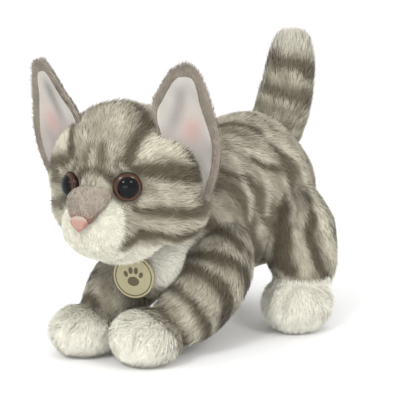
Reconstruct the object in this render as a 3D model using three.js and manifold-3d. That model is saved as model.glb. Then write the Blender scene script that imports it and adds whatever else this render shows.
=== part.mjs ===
// A plush cat that crouches on its forelegs with its rump up, its head turned a little to its left and its tail
// raised. Millimetres, +Z up, the cat faces -Y, and its left side is +X. The origin is on the floor under the
// middle of the cat.
//
// Each stuffed part is a fabric skin, left open where it is sewn to its neighbour, round a core of stuffing. The
// head, ears, legs, tail and pendant are separate bodies that flex at their seams, so each neighbour is cut back
// by the space that the moving part sweeps.
import * as THREE from "three";
import { mergeVertices } from "three/addons/utils/BufferGeometryUtils.js";
import Module from "manifold-3d";

const wasm = await Module();
wasm.setup();

// ---- Driving dimensions -------------------------------------------------------------------------------------

const SKIN = 2.4; // backing cloth and the roots of the pile
const GAP = 0.35; // between pieces that touch
const SWEEP_GAP = 0.7; // round a part that moves
const BIG = 400; // larger than the cat
const ORIGIN_SHIFT = [0, 17.245, 0]; // brings the middle of the finished cat over the origin

const TORSO = {
  spine: [[0, -66, 73], [0, -40, 80], [0, 0, 94], [0, 42, 99], [0, 94, 102]],
  width: [30, 40, 44, 46, 40],
  height: [34, 46, 58, 62, 47],
  blunt: 0.6,
};
const CHEST_PANEL_REAR = -50;

const HEAD_CENTRE = [5, -76, 124.5];
const HEAD_TURN = 22; // degrees, to the cat's left
const HEAD = { centre: [0, 0, 0], radii: [52, 49, 50] };
const NECK_HOLE = { centre: [0, 28, -43], radii: [17, 17, 14] };

// These are in the head's own frame: from the head's centre, before the head is turned.
const MUZZLE = { centre: [0, -36, -27], radii: [24.5, 26, 20.5] };
const BRIDGE = {
  spine: [[0, -43, 6], [0, -54, -3], [0, -61, -13], [0, -60, -22]],
  width: [10, 11, 10, 7],
  height: [6, 7, 6, 5],
  blunt: 0.55,
};
const NOSE = { centre: [0, -65.4, -19.5], radii: [6.2, 3.4, 4.6] };
const MOUTH = { top: [0, -63, -25.5], middle: [0, -62.9, -30], bottom: [0, -59.4, -37.5], wire: 0.6 };
const EYE = {
  centre: [22.2, -43.8, 2.5], // on the left, mirrored for the right
  facing: [0.47, -1, 0.03],
  radius: 9.6,
  dome: 6,
  shankRadius: 2.6,
  shankLength: 14,
  pupilRadius: 7,
  pupilThickness: 0.6,
  washerRadius: 8.5,
  washerThickness: 1.8,
  washerDepth: 9,
};
const EAR = {
  spine: [[42, -4, 4], [45.5, -8, 29], [48, -12, 53], [51, -15, 77]],
  width: [18, 26, 21, 11],
  height: [2.2, 2.2, 2, 1.8],
  blunt: 0.5,
  across: [0.83, 0.56, -0.06],
  front: [0.53, -0.81, -0.22],
  cup: 0.012,
  pivot: [42, -12, 24],
  flex: [-10, 10],
};
const EAR_LINING = { scale: 0.8, halfThickness: 0.6 };

const FRONT_PAWS = {
  left: { centre: [25, -82, 19], radii: [24, 27, 22] },
  right: { centre: [-17.5, -96.5, 19], radii: [23, 27, 22] },
};
const FORELEG = {
  spine: [[27, -4, 90], [34, -21, 58], [34, -43, 34]], // and then into the paw
  width: [22, 26, 25, 20],
  height: [25, 29, 27, 20],
  blunt: 0.6,
  innerX: 12, // the flat seam by which the leg is sewn to the torso
  pivot: [13, 0, 66],
  axis: [0, 0, 1],
  flex: [0, 14],
};

const HIND_LEG = {
  spine: [[30, 58, 108], [40, 54, 78], [45, 57, 46]], // and then into the foot
  width: [24, 28, 24, 20],
  height: [32, 36, 29, 24],
  blunt: 0.6,
  innerX: 20,
  pivot: [20, 57, 92],
  axis: [1, 0, 0],
  flex: [-10, 10],
};
const HIND_FOOT = { centre: [47, 49, 20.5], radii: [25, 29, 23.5] };

const TAIL = {
  spine: [[0, 68, 129], [0, 80, 153], [0, 89, 182], [0, 93, 212]],
  width: [20, 17.5, 16.5, 16],
  height: [20, 18, 17, 16.5],
  blunt: 0.5,
  pivot: [0, 74, 137],
  axis: [0, 1, 0],
  flex: [-18, 18],
};

const PENDANT = {
  centre: [9.6, -76.6, 55.6],
  facing: [0.45, -1, 0],
  radius: 15,
  thickness: 1.8,
  borderRadius: 13.2,
  borderWidth: 0.8,
  borderRaise: 0.4,
  hole: 1.4,
  holeInset: 2.4,
  ring: 2.3,
  wire: 0.5,
  loopReach: 7,
  loopHalfWidth: 2.2,
  wireGap: 0.25,
};

// ---- Solids -------------------------------------------------------------------------------------------------

const vec = (p) => new THREE.Vector3(...p);
const mirrored = (p, side) => [p[0] * side, p[1], p[2]];

/** A closed three.js geometry as a manifold solid. */
function solid(geometry) {
  const bare = geometry.clone();
  bare.deleteAttribute("normal");
  bare.deleteAttribute("uv");
  const merged = mergeVertices(bare, 1e-3);
  const mesh = new wasm.Mesh({
    numProp: 3,
    vertProperties: new Float32Array(merged.attributes.position.array),
    triVerts: new Uint32Array(merged.index.array),
  });
  return new wasm.Manifold(mesh);
}

/** A manifold solid as a three.js geometry. */
function geometryOf(manifold) {
  const mesh = manifold.getMesh();
  const positions = new Float32Array(mesh.numVert * 3);
  for (let i = 0; i < mesh.numVert; i++) {
    positions.set(mesh.vertProperties.subarray(i * mesh.numProp, i * mesh.numProp + 3), i * 3);
  }
  const geometry = new THREE.BufferGeometry();
  geometry.setAttribute("position", new THREE.BufferAttribute(positions, 3));
  geometry.setIndex(new THREE.BufferAttribute(new Uint32Array(mesh.triVerts), 1));
  geometry.computeVertexNormals();
  return geometry;
}

/** Moves each vertex of a geometry by a function of its place. */
function reshape(geometry, move) {
  const position = geometry.attributes.position;
  const point = new THREE.Vector3();
  for (let i = 0; i < position.count; i++) {
    const moved = move(point.fromBufferAttribute(position, i));
    position.setXYZ(i, moved.x, moved.y, moved.z);
  }
  return geometry;
}

/** A value between the numbers of a list, at a share from 0 to 1, without corners. */
function between(values, share) {
  const at = THREE.MathUtils.clamp(share, 0, 1) * (values.length - 1);
  const i = Math.min(Math.floor(at), values.length - 2);
  return THREE.MathUtils.lerp(values[i], values[i + 1], THREE.MathUtils.smoothstep(at - i, 0, 1));
}

/**
 * A stuffed shape round a spine, with its own half width and half height along it, grown all round by `grow`.
 * `across` points along its width, and `cup` bends its edges to one side.
 */
function limb(shape, { side = 1, grow = 0, around = 20, along = 16 } = {}) {
  const curve = new THREE.CatmullRomCurve3(shape.spine.map((p) => vec(mirrored(p, side))));
  const across = vec(mirrored(shape.across ?? [1, 0, 0], side)).multiplyScalar(side);
  const cup = shape.cup ?? 0;
  const ball = new THREE.SphereGeometry(1, around, along);
  return solid(
    reshape(ball, (p) => {
      const cosine = THREE.MathUtils.clamp(p.y, -1, 1);
      const share = (1 - cosine) / 2;
      const ring = Math.hypot(p.x, p.z);
      const fullness = ring < 1e-6 ? 0 : Math.pow(ring, shape.blunt) / ring;
      const tangent = curve.getTangentAt(share);
      const sideways = across.clone().addScaledVector(tangent, -across.dot(tangent)).normalize();
      const upwards = new THREE.Vector3().crossVectors(sideways, tangent);
      const aside = p.x * fullness * (between(shape.width, share) + grow);
      const raised = -p.z * fullness * (between(shape.height, share) + grow) + cup * aside * aside;
      return curve
        .getPointAt(share)
        .addScaledVector(tangent, -cosine * grow)
        .addScaledVector(sideways, aside)
        .addScaledVector(upwards, raised);
    }),
  );
}

/** An ellipsoid, grown all round by `grow`. */
function ellipsoid({ centre, radii }, { side = 1, grow = 0, around = 24, along = 16 } = {}) {
  const ball = new THREE.SphereGeometry(1, around, along).rotateX(Math.PI / 2);
  ball.scale(...radii.map((radius) => radius + grow));
  return solid(ball.translate(...mirrored(centre, side)));
}

/** A box from its lowest corner to its highest. */
function block(low, high) {
  const size = high.map((value, i) => value - low[i]);
  const middle = high.map((value, i) => (value + low[i]) / 2);
  return solid(new THREE.BoxGeometry(...size).translate(...middle));
}

/** A round profile of [radius, height] points, turned about an axis that runs from `centre` towards `facing`. */
function lathed(points, centre, facing, segments = 16) {
  const profile = points.map(([radius, height]) => new THREE.Vector2(radius, height));
  const aim = new THREE.Quaternion().setFromUnitVectors(new THREE.Vector3(0, 1, 0), vec(facing).normalize());
  return solid(new THREE.LatheGeometry(profile, segments).applyQuaternion(aim).translate(...centre));
}

/** A wire of the given radius bent into an ellipse round `centre`, with half axes `along` and `aside`. */
function wireLoop(centre, along, aside, radius, segments = 18) {
  const outer = along.length();
  const normal = new THREE.Vector3().crossVectors(along, aside).normalize();
  const frame = new THREE.Matrix4().makeBasis(along.clone().normalize(), aside.clone().normalize(), normal);
  const stretch = aside.length() / outer;
  const torus = new THREE.TorusGeometry(outer, radius, 6, segments);
  reshape(torus, (p) => {
    const ring = Math.hypot(p.x, p.y);
    const onLine = new THREE.Vector3((p.x / ring) * outer, (p.y / ring) * outer * stretch, 0);
    return onLine.addScaledVector(new THREE.Vector3(p.x / ring, p.y / ring, 0), ring - outer).setZ(p.z);
  });
  return solid(torus.applyMatrix4(frame).translate(...centre.toArray()));
}

/** A solid turned about an axis through a point, in degrees. */
function turned(shape, pivot, axis, degrees) {
  const turn = new THREE.Matrix4().makeRotationAxis(vec(axis).normalize(), THREE.MathUtils.degToRad(degrees));
  const there = new THREE.Matrix4().makeTranslation(...pivot);
  const back = new THREE.Matrix4().makeTranslation(...pivot.map((value) => -value));
  return shape.transform(there.multiply(turn).multiply(back).elements);
}

/** The space that a solid sweeps as it turns about an axis from one angle to another, in degrees. */
function swept(shape, pivot, axis, [low, high], steps = 2) {
  let space = turned(shape, pivot, axis, low);
  for (let i = 1; i <= steps; i++) {
    space = space.add(turned(shape, pivot, axis, THREE.MathUtils.lerp(low, high, i / steps)));
  }
  return space;
}

const underFloor = (depth) => block([-BIG, -BIG, -BIG], [BIG, BIG, depth]);
/** All the space further than `x` from the middle plane, on one side. */
const beyondX = (side, x) =>
  side > 0 ? block([x, -BIG, -BIG], [BIG, BIG, BIG]) : block([-BIG, -BIG, -BIG], [-x, BIG, BIG]);

// ---- Materials and the list of parts --------------------------------------------------------------------------

const cat = new THREE.Group();
const SIDES = [["left", 1], ["right", -1]];

const paint = (color, roughness, metalness = 0) => new THREE.MeshStandardMaterial({ color, roughness, metalness });
const TABBY = paint(0x9b9384, 0.95);
const WHITE = paint(0xf2efe6, 0.95);
const TAUPE = paint(0x8f8578, 0.95);
const SATIN = paint(0xe9e4e2, 0.6);
const PINK = paint(0xe0a596, 0.8);
const AMBER = paint(0x6b3a22, 0.08);
const BLACK = paint(0x060608, 0.05);
const NYLON = paint(0xd8d8d4, 0.5);
const STUFFING = paint(0xfafafa, 1);
const PELLETS = paint(0xdcdcd6, 0.7);
const TAG = paint(0xb5ad88, 0.45);
const TAG_BORDER = paint(0x4d4630, 0.5);
const STEEL = paint(0xb9b9bd, 0.3, 1);
const THREAD = paint(0xe8e2d4, 0.9);

function add(name, shape, material) {
  const mesh = new THREE.Mesh(geometryOf(shape.translate(ORIGIN_SHIFT)), material);
  mesh.name = name;
  cat.add(mesh);
}

// ---- Legs and feet ------------------------------------------------------------------------------------------

const LEG_MESH = { around: 14, along: 10 };
const FOOT_MESH = { around: 14, along: 8 };

/** A leg's shape with its spine led into its foot, on the left: `side` mirrors it. */
function ledInto(shape, foot, side) {
  return { ...shape, spine: [...shape.spine, mirrored(foot.centre, side)] };
}
/** The outline of a leg on its own side of its seam, and of its foot, grown all round. */
function legOutline(shape, side, grow) {
  return limb(shape, { side, grow, ...LEG_MESH }).intersect(beyondX(side, shape.innerX - grow));
}
function footOutline(foot, grow) {
  return ellipsoid(foot, { grow, ...FOOT_MESH }).intersect(beyondX(Math.sign(foot.centre[0]), GAP - grow));
}

/** A leg with its foot. The leg is open at its seam with the torso, and the foot where the leg enters it. */
function addLeg(legName, footName, shape, foot, side) {
  const legInside = limb(shape, { side, grow: -SKIN, ...LEG_MESH }).subtract(underFloor(SKIN));
  const stuffing = limb(shape, { side, grow: -SKIN - GAP, ...LEG_MESH }).intersect(beyondX(side, shape.innerX));
  const legRoom = limb(shape, { side, grow: GAP, ...LEG_MESH });
  const footInside = footOutline(foot, -SKIN).subtract(underFloor(SKIN));
  const footShell = footOutline(foot, 0).subtract(footInside).subtract(legRoom);
  const bag = footOutline(foot, -SKIN - GAP).subtract(underFloor(SKIN + GAP)).subtract(legRoom);
  add(`${legName}_skin`, legOutline(shape, side, 0).subtract(legInside).subtract(underFloor(0)), TABBY);
  add(`${legName}_stuffing`, stuffing.subtract(underFloor(SKIN + GAP)), STUFFING);
  add(`${footName}_skin`, footShell.subtract(underFloor(0)), WHITE);
  add(`${footName}_pellet_bag`, bag, PELLETS);
}

/** The space that a leg and its foot sweep about their hip or shoulder. */
function legSweep(shape, foot, side) {
  const whole = legOutline(shape, side, SWEEP_GAP).add(footOutline(foot, SWEEP_GAP));
  const axis = shape.axis[2] ? [0, 0, side] : shape.axis;
  return swept(whole, mirrored(shape.pivot, side), axis, shape.flex);
}

const legSweeps = [];
for (const [sideName, side] of SIDES) {
  const paw = FRONT_PAWS[sideName];
  const foot = { ...HIND_FOOT, centre: mirrored(HIND_FOOT.centre, side) };
  const foreleg = ledInto(FORELEG, paw, side);
  const hindLeg = ledInto(HIND_LEG, foot, side);
  addLeg(`foreleg_${sideName}`, `front_paw_${sideName}`, foreleg, paw, side);
  addLeg(`hind_leg_${sideName}`, `hind_foot_${sideName}`, hindLeg, foot, side);
  legSweeps.push(legSweep(foreleg, paw, side), legSweep(hindLeg, foot, side));
}

// ---- Tail ---------------------------------------------------------------------------------------------------

const TAIL_MESH = { around: 12, along: 12 };
const tailSeam = block([-BIG, -BIG, -BIG], [BIG, BIG, TAIL.pivot[2]]);
const tailInside = limb(TAIL, { grow: -SKIN, ...TAIL_MESH });
add("tail_skin", limb(TAIL, TAIL_MESH).subtract(tailInside).subtract(tailSeam), TABBY);
add("tail_stuffing", limb(TAIL, { grow: -SKIN - GAP, ...TAIL_MESH }).subtract(tailSeam), STUFFING);
const tailRoom = limb(TAIL, { grow: SWEEP_GAP, ...TAIL_MESH }).subtract(tailSeam.translate([0, 0, -SWEEP_GAP]));
const tailSweep = swept(tailRoom, TAIL.pivot, TAIL.axis, TAIL.flex);

// ---- Head ---------------------------------------------------------------------------------------------------

const HEAD_MESH = { around: 20, along: 12 };
const MUZZLE_MESH = { around: 16, along: 10 };
const BRIDGE_MESH = { around: 10, along: 8 };
const onHead = (shape) => turned(shape, [0, 0, 0], [0, 0, 1], HEAD_TURN).translate(HEAD_CENTRE);
const head = (grow) => ellipsoid(HEAD, { grow, ...HEAD_MESH });
const muzzle = (grow) => ellipsoid(MUZZLE, { grow, ...MUZZLE_MESH });

/** An eye's outline on one side: a dome on a flat back, with its shank, grown all round. */
function eyeOutline(side, grow, shank = EYE.shankLength) {
  const points = [[0, -shank - grow], [EYE.shankRadius + grow, -shank - grow], [EYE.shankRadius + grow, -grow]];
  points.push([EYE.radius + grow, -grow]);
  const edge = 0.8;
  const steps = 4;
  for (let i = 0; i <= steps; i++) {
    const angle = (i / steps) * (Math.PI / 2);
    const radius = i === steps ? 0 : (EYE.radius + grow) * Math.cos(angle);
    points.push([radius, edge + (EYE.dome - edge + grow) * Math.sin(angle)]);
  }
  return lathed(points, mirrored(EYE.centre, side), mirrored(EYE.facing, side));
}
/** A disc across an eye's axis. */
function eyeDisc(side, radius, low, high) {
  const points = [[0, low], [radius, low], [radius, high], [0, high]];
  return lathed(points, mirrored(EYE.centre, side), mirrored(EYE.facing, side));
}
const washerFront = -EYE.washerDepth;
const washerBack = -EYE.washerDepth - EYE.washerThickness;
const eyeRoom = eyeOutline(1, GAP).add(eyeOutline(-1, GAP));
const washerRoom = SIDES.map(([, side]) =>
  eyeDisc(side, EYE.washerRadius + GAP, washerBack - GAP, washerFront + GAP),
).reduce((a, b) => a.add(b));
const bridgeRoom = limb(BRIDGE, { grow: GAP, ...BRIDGE_MESH });

const headShell = head(0).subtract(head(-SKIN)).subtract(ellipsoid(NECK_HOLE, MUZZLE_MESH));
const muzzleShell = muzzle(0).subtract(muzzle(-SKIN));
const headFilling = head(-SKIN - GAP).add(muzzle(-SKIN - GAP));
const noseShape = ellipsoid(NOSE, { around: 14, along: 8 });
const bridge = limb(BRIDGE, BRIDGE_MESH).subtract(head(GAP)).subtract(eyeRoom);
add("head_skin", onHead(headShell.subtract(muzzle(GAP)).subtract(eyeRoom)), TABBY);
add("muzzle_skin", onHead(muzzleShell.subtract(head(-SKIN))), WHITE);
add("head_stuffing", onHead(headFilling.subtract(eyeRoom).subtract(washerRoom)), STUFFING);
add("nose_bridge_panel", onHead(bridge.subtract(muzzle(GAP))), TAUPE);
add("nose", onHead(noseShape.subtract(bridgeRoom).subtract(muzzle(GAP))), PINK);

const mouthLine = new THREE.CatmullRomCurve3([vec(MOUTH.top), vec(MOUTH.middle), vec(MOUTH.bottom)]);
const stitchOutline = new THREE.Shape().absarc(0, 0, MOUTH.wire, 0, 2 * Math.PI);
const stitch = new THREE.ExtrudeGeometry(stitchOutline, { steps: 8, curveSegments: 4, extrudePath: mouthLine });
add("mouth_stitch", onHead(solid(stitch)), PINK);

for (const [sideName, side] of SIDES) {
  const pupil = eyeOutline(side, GAP + EYE.pupilThickness, 0.5)
    .subtract(eyeOutline(side, GAP, 0.7))
    .intersect(eyeDisc(side, EYE.pupilRadius, 1, 20));
  const washer = eyeDisc(side, EYE.washerRadius, washerBack, washerFront)
    .subtract(eyeDisc(side, EYE.shankRadius + GAP, -30, 0));
  add(`eye_${sideName}`, onHead(eyeOutline(side, 0)), AMBER);
  add(`pupil_${sideName}`, onHead(pupil), BLACK);
  add(`eye_washer_${sideName}`, onHead(washer), NYLON);
}

// ---- Ears ---------------------------------------------------------------------------------------------------

const EAR_MESH = { around: 14, along: 10 };

/** The direction along an ear's width, square to its spine: the ear flexes about it. */
function earAxis(side) {
  const along = vec(EAR.spine[EAR.spine.length - 1]).sub(vec(EAR.spine[0])).normalize();
  const across = vec(EAR.across);
  return mirrored(across.addScaledVector(along, -across.dot(along)).normalize().toArray(), side);
}

for (const [sideName, side] of SIDES) {
  const headSpace = swept(head(SWEEP_GAP), mirrored(EAR.pivot, side), earAxis(side), EAR.flex, 2);
  const lining = {
    ...EAR,
    width: EAR.width.map((half) => half * EAR_LINING.scale),
    height: EAR.height.map(() => EAR_LINING.halfThickness),
  };
  const step = EAR.height[0] + GAP + EAR_LINING.halfThickness;
  const toFront = vec(mirrored(EAR.front, side)).normalize().multiplyScalar(step);
  add(`ear_${sideName}_shell`, onHead(limb(EAR, { side, ...EAR_MESH }).subtract(headSpace)), TAUPE);
  const liningPlate = limb(lining, { side, ...EAR_MESH }).translate(toFront.toArray());
  add(`ear_${sideName}_lining`, onHead(liningPlate.subtract(headSpace)), SATIN);
}

// ---- Pendant ------------------------------------------------------------------------------------------------

const faceHeight = PENDANT.thickness / 2;
const facing = vec(PENDANT.facing).normalize();
const up = new THREE.Vector3(0, 0, 1);
const aside = new THREE.Vector3().crossVectors(up, facing);
const holeCentre = vec(PENDANT.centre).addScaledVector(up, PENDANT.radius - PENDANT.holeInset);
const ringCentre = holeCentre.clone().addScaledVector(up, PENDANT.ring);
const hinge = ringCentre.clone().addScaledVector(up, PENDANT.ring - 2 * PENDANT.wire - PENDANT.wireGap);
const loopCentre = hinge.clone().addScaledVector(facing, -PENDANT.loopReach);

/** A disc or band square to the pendant's face, from [radius, height] points along its facing direction. */
const pendantBand = (points, centre) => lathed(points, centre.toArray(), facing.toArray(), 24);
const pendantDisc = (radius, half, centre) => pendantBand([[0, -half], [radius, -half], [radius, half], [0, half]], centre);
const borderInner = PENDANT.borderRadius - PENDANT.borderWidth;
const borderLow = faceHeight + GAP / 2;
const borderHigh = borderLow + PENDANT.borderRaise;
const borderProfile = [
  [borderInner, borderLow],
  [PENDANT.borderRadius, borderLow],
  [PENDANT.borderRadius, borderHigh],
  [borderInner, borderHigh],
  [borderInner, borderLow],
];
const plate = pendantDisc(PENDANT.radius, faceHeight, vec(PENDANT.centre));
const ringRoom = pendantDisc(PENDANT.hole * 2, PENDANT.thickness * 2, holeCentre);
const border = pendantBand(borderProfile, vec(PENDANT.centre));
const ringReach = (direction) => direction.clone().multiplyScalar(PENDANT.ring);
const loopAlong = facing.clone().multiplyScalar(PENDANT.loopReach);
const loopAside = aside.clone().multiplyScalar(PENDANT.loopHalfWidth);
const loop = (wire) => wireLoop(loopCentre, loopAlong, loopAside, wire);
add("pendant_disc", plate.subtract(pendantDisc(PENDANT.hole, PENDANT.thickness, holeCentre)), TAG);
add("pendant_border", border.subtract(ringRoom), TAG_BORDER);
add("pendant_ring", wireLoop(ringCentre, ringReach(up), ringReach(facing), PENDANT.wire, 16), STEEL);
add("pendant_loop", loop(PENDANT.wire), THREAD);

// ---- Torso --------------------------------------------------------------------------------------------------

const TORSO_MESH = { around: 18, along: 14 };
const seatRadius = HEAD.radii[0] + SWEEP_GAP;
const seat = { centre: HEAD_CENTRE, radii: [seatRadius, seatRadius, HEAD.radii[2] + SWEEP_GAP] };
const takenRooms = [ellipsoid(seat, HEAD_MESH), tailSweep, loop(PENDANT.wire + GAP), ...legSweeps];
const torsoRoom = takenRooms.reduce((a, b) => a.add(b));
const torsoInside = limb(TORSO, { grow: -SKIN, ...TORSO_MESH });
const shell = limb(TORSO, TORSO_MESH).subtract(torsoInside).subtract(torsoRoom);
const ahead = block([-BIG, -BIG, -BIG], [BIG, CHEST_PANEL_REAR, BIG]);
const behind = block([-BIG, CHEST_PANEL_REAR + GAP, -BIG], [BIG, BIG, BIG]);
add("torso_skin", shell.intersect(behind), TABBY);
add("chest_panel", shell.intersect(ahead), WHITE);
add("torso_stuffing", limb(TORSO, { grow: -SKIN - GAP, ...TORSO_MESH }).subtract(torsoRoom), STUFFING);

export default cat;
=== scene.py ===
"""The looks of a plush tabby cat: stuffed cloth skins covered in a short pile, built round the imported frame.

Shapes are worked out in millimetres in the cat's own space, and are brought into the frame, in metres, when
their Blender mesh is made. The cat faces -Y and its left side is +X.
"""

import math

import bpy
import numpy as np
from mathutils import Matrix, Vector
from mathutils.bvhtree import BVHTree


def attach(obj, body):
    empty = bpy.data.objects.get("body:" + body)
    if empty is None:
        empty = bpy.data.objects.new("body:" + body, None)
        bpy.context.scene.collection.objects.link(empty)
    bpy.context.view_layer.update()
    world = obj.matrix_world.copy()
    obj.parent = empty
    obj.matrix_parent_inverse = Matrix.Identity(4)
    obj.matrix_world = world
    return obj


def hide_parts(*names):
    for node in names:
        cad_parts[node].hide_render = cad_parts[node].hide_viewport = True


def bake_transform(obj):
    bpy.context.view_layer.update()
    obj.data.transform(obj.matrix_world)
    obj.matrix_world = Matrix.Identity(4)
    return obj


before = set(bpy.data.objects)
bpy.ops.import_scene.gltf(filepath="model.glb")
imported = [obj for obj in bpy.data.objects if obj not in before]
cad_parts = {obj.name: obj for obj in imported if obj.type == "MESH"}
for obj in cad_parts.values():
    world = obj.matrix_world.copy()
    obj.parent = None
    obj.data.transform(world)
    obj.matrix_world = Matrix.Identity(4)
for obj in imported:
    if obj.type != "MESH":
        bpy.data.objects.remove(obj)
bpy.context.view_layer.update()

# ---- Driving dimensions, in millimetres ------------------------------------------------------------------

ORIGIN_SHIFT = np.array([0, 17.245, 0])
PILE_DEPTH = 2.6  # how far the cloth lies under the outline that the pile gives the cat
VOXEL = 2.4
FLOOR_GAP = 0.5

TORSO = {
    "spine": [[0, -66, 73], [0, -40, 80], [0, 0, 94], [0, 42, 99], [0, 96, 102]],
    "width": [30, 40, 44, 48, 46],
    "height": [34, 46, 58, 62, 46],
    "blunt": 0.5,
}
CHEST = ([3, -49, 60], [29, 24, 27])
HEAD_CENTRE = np.array([5, -76, 124.5])
HEAD_TURN = 21
HEAD_SWING = 15
HEAD_BALLS = [
    ([0, 0, 0], [55, 50, 49]),
    ([-4, -4, 8], [42, 42, 43]),
    ([0, -17, -28], [36, 30, 29]),
]
CHEEK = ([31, 1, -20], [25, 31, 25])
MUZZLE = ([0, -38, -27], [28, 26.5, 24])
SNOUT = ([0, -42, -13], [20, 19.5, 15])
BRIDGE = {
    "spine": [[0, -48.5, -2.5], [0, -54.5, -6.5], [0, -60.5, -13], [0, -62.5, -21]],
    "width": [12, 12, 9, 6],
    "height": [5, 5, 4.8, 4],
    "blunt": 0.3,
}
BRIDGE_EDGE = {
    "spine": [[7, -47.5, -3.5], [6.5, -53.5, -7], [4, -59.8, -13], [2, -62, -20]],
    "width": [8, 8, 6.5, 5],
    "height": [5, 5, 4.8, 4],
    "blunt": 0.3,
}
NOSE_CENTRE = [0, -66, -20.5]
NOSE_RADII = [7, 1.9, 5]
MOUTH = [[0, -66, -26], [0, -65.5, -31], [0, -61, -40]]
EYE_CENTRE = [21.8, -42.4, 0.8]
RIGHT_EYE_SHIFT = [1.8, 1.8, -2.6]  # the right eye sits a little deeper, lower and nearer the nose
EYE_FACING = [0.72, -1, 0.03]
EYE_RADIUS = 9.4
EAR_BASE = [39, -1, 4]
EAR_TIP = [54, -21, 77]
EAR_ACROSS = [0.934, 0.358, 0]

FRONT_PAWS = {"left": ([27, -79.5, 18], [26, 27, 20]), "right": ([-17.5, -96.5, 17], [24.5, 27, 18.5])}
FORELEG_SPINES = {
    "left": [[27, -4, 90], [34, -21, 58], [34, -43, 34]],
    "right": [[25, -4, 90], [30, -24, 60], [24, -60, 38]],
}
FORELEG = {"width": [22, 26, 24, 20], "height": [25, 29, 26, 18], "blunt": 0.6}
HIND_FOOT = ([47, 49, 20.5], [25, 29, 23.5])
HIND_LEG = {
    "spine": [[25, 60, 107], [33.5, 57, 82], [43, 58, 48]],
    "width": [26, 28, 25, 21],
    "height": [28, 33, 31, 26],
    "blunt": 0.55,
}
TAIL = {
    "spine": [[0, 60, 120], [0, 80, 153], [0, 89, 182], [0.5, 93, 215]],
    "width": [27, 22, 20.5, 19.5],
    "height": [25, 21.5, 20, 19],
    "blunt": 0.42,
}
LEG_SPANS = {  # two points along each leg near its seam with the torso; bending is handed them and doesn't use them
    "foreleg": ([20, 4, 96], [30, -34, 62]),
    "hind_leg": ([14, 58, 100], [34, 58, 62]),
}
TOE_CREASE = 2.4
SIDES = (("left", 1), ("right", -1))

# ---- Numbers and vectors ---------------------------------------------------------------------------------


def unit(vectors):
    """Vectors made one long, along the last axis."""
    vectors = np.asarray(vectors, float)
    return vectors / np.maximum(np.linalg.norm(vectors, axis=-1, keepdims=True), 1e-12)


def smooth(value, low, high):
    """0 below low, 1 above high, and a soft step between."""
    t = np.clip((value - low) / (high - low), 0, 1)
    return t * t * (3 - 2 * t)


def mix(a, b, share):
    """From a to b by a share, which may be a list of shares over rows of colours or points."""
    share = np.asarray(share, float)
    if share.ndim and np.ndim(b) >= 1 and np.shape(b)[-1] == 3:
        share = share[..., None]
    return a * (1 - share) + b * share


def dot(a, b):
    """The dot product of each row of a with b, or with the same row of b."""
    return (np.asarray(a) * np.asarray(b)).sum(-1)


def linear(*srgb):
    """A colour from 0-255 screen values to linear light."""
    value = np.array(srgb, float) / 255
    return np.where(value <= 0.04045, value / 12.92, ((value + 0.055) / 1.055) ** 2.4)


class Ripple:
    """Soft seeded noise in space, about -1 to 1, with features of roughly the given size in millimetres."""

    def __init__(self, seed, size, waves=9):
        dice = np.random.default_rng(seed)
        self.directions = unit(dice.normal(size=(waves, 3))) * (2 * np.pi / size)
        self.directions *= dice.uniform(0.6, 1.5, (waves, 1))
        self.phases = dice.uniform(0, 2 * np.pi, waves)

    def __call__(self, points):
        total = np.zeros(len(points))
        for direction, phase in zip(self.directions, self.phases):
            total += np.sin(points @ direction + phase)
        return total / math.sqrt(len(self.phases) / 1.2)


def mirrored(point, side):
    return np.array([point[0] * side, point[1], point[2]], float)


def turn_about_z(degrees):
    c, s = math.cos(math.radians(degrees)), math.sin(math.radians(degrees))
    return np.array([[c, -s, 0], [s, c, 0], [0, 0, 1]])


def head_to_cat(points):
    """Points of the head's own space, in the cat's space."""
    return np.asarray(points, float) @ turn_about_z(HEAD_TURN).T + HEAD_CENTRE


def cat_to_head(points):
    """Points of the cat's space, in the head's own."""
    return (np.asarray(points, float) - HEAD_CENTRE) @ turn_about_z(HEAD_TURN)


def turn_to_cat(directions):
    return head_to_cat(directions) - HEAD_CENTRE


def eye_centre(side):
    """An eye's centre in the head's own space."""
    return mirrored(EYE_CENTRE, side) + (np.array(RIGHT_EYE_SHIFT) if side < 0 else 0)


# ---- Spines and the shapes round them --------------------------------------------------------------------


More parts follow.
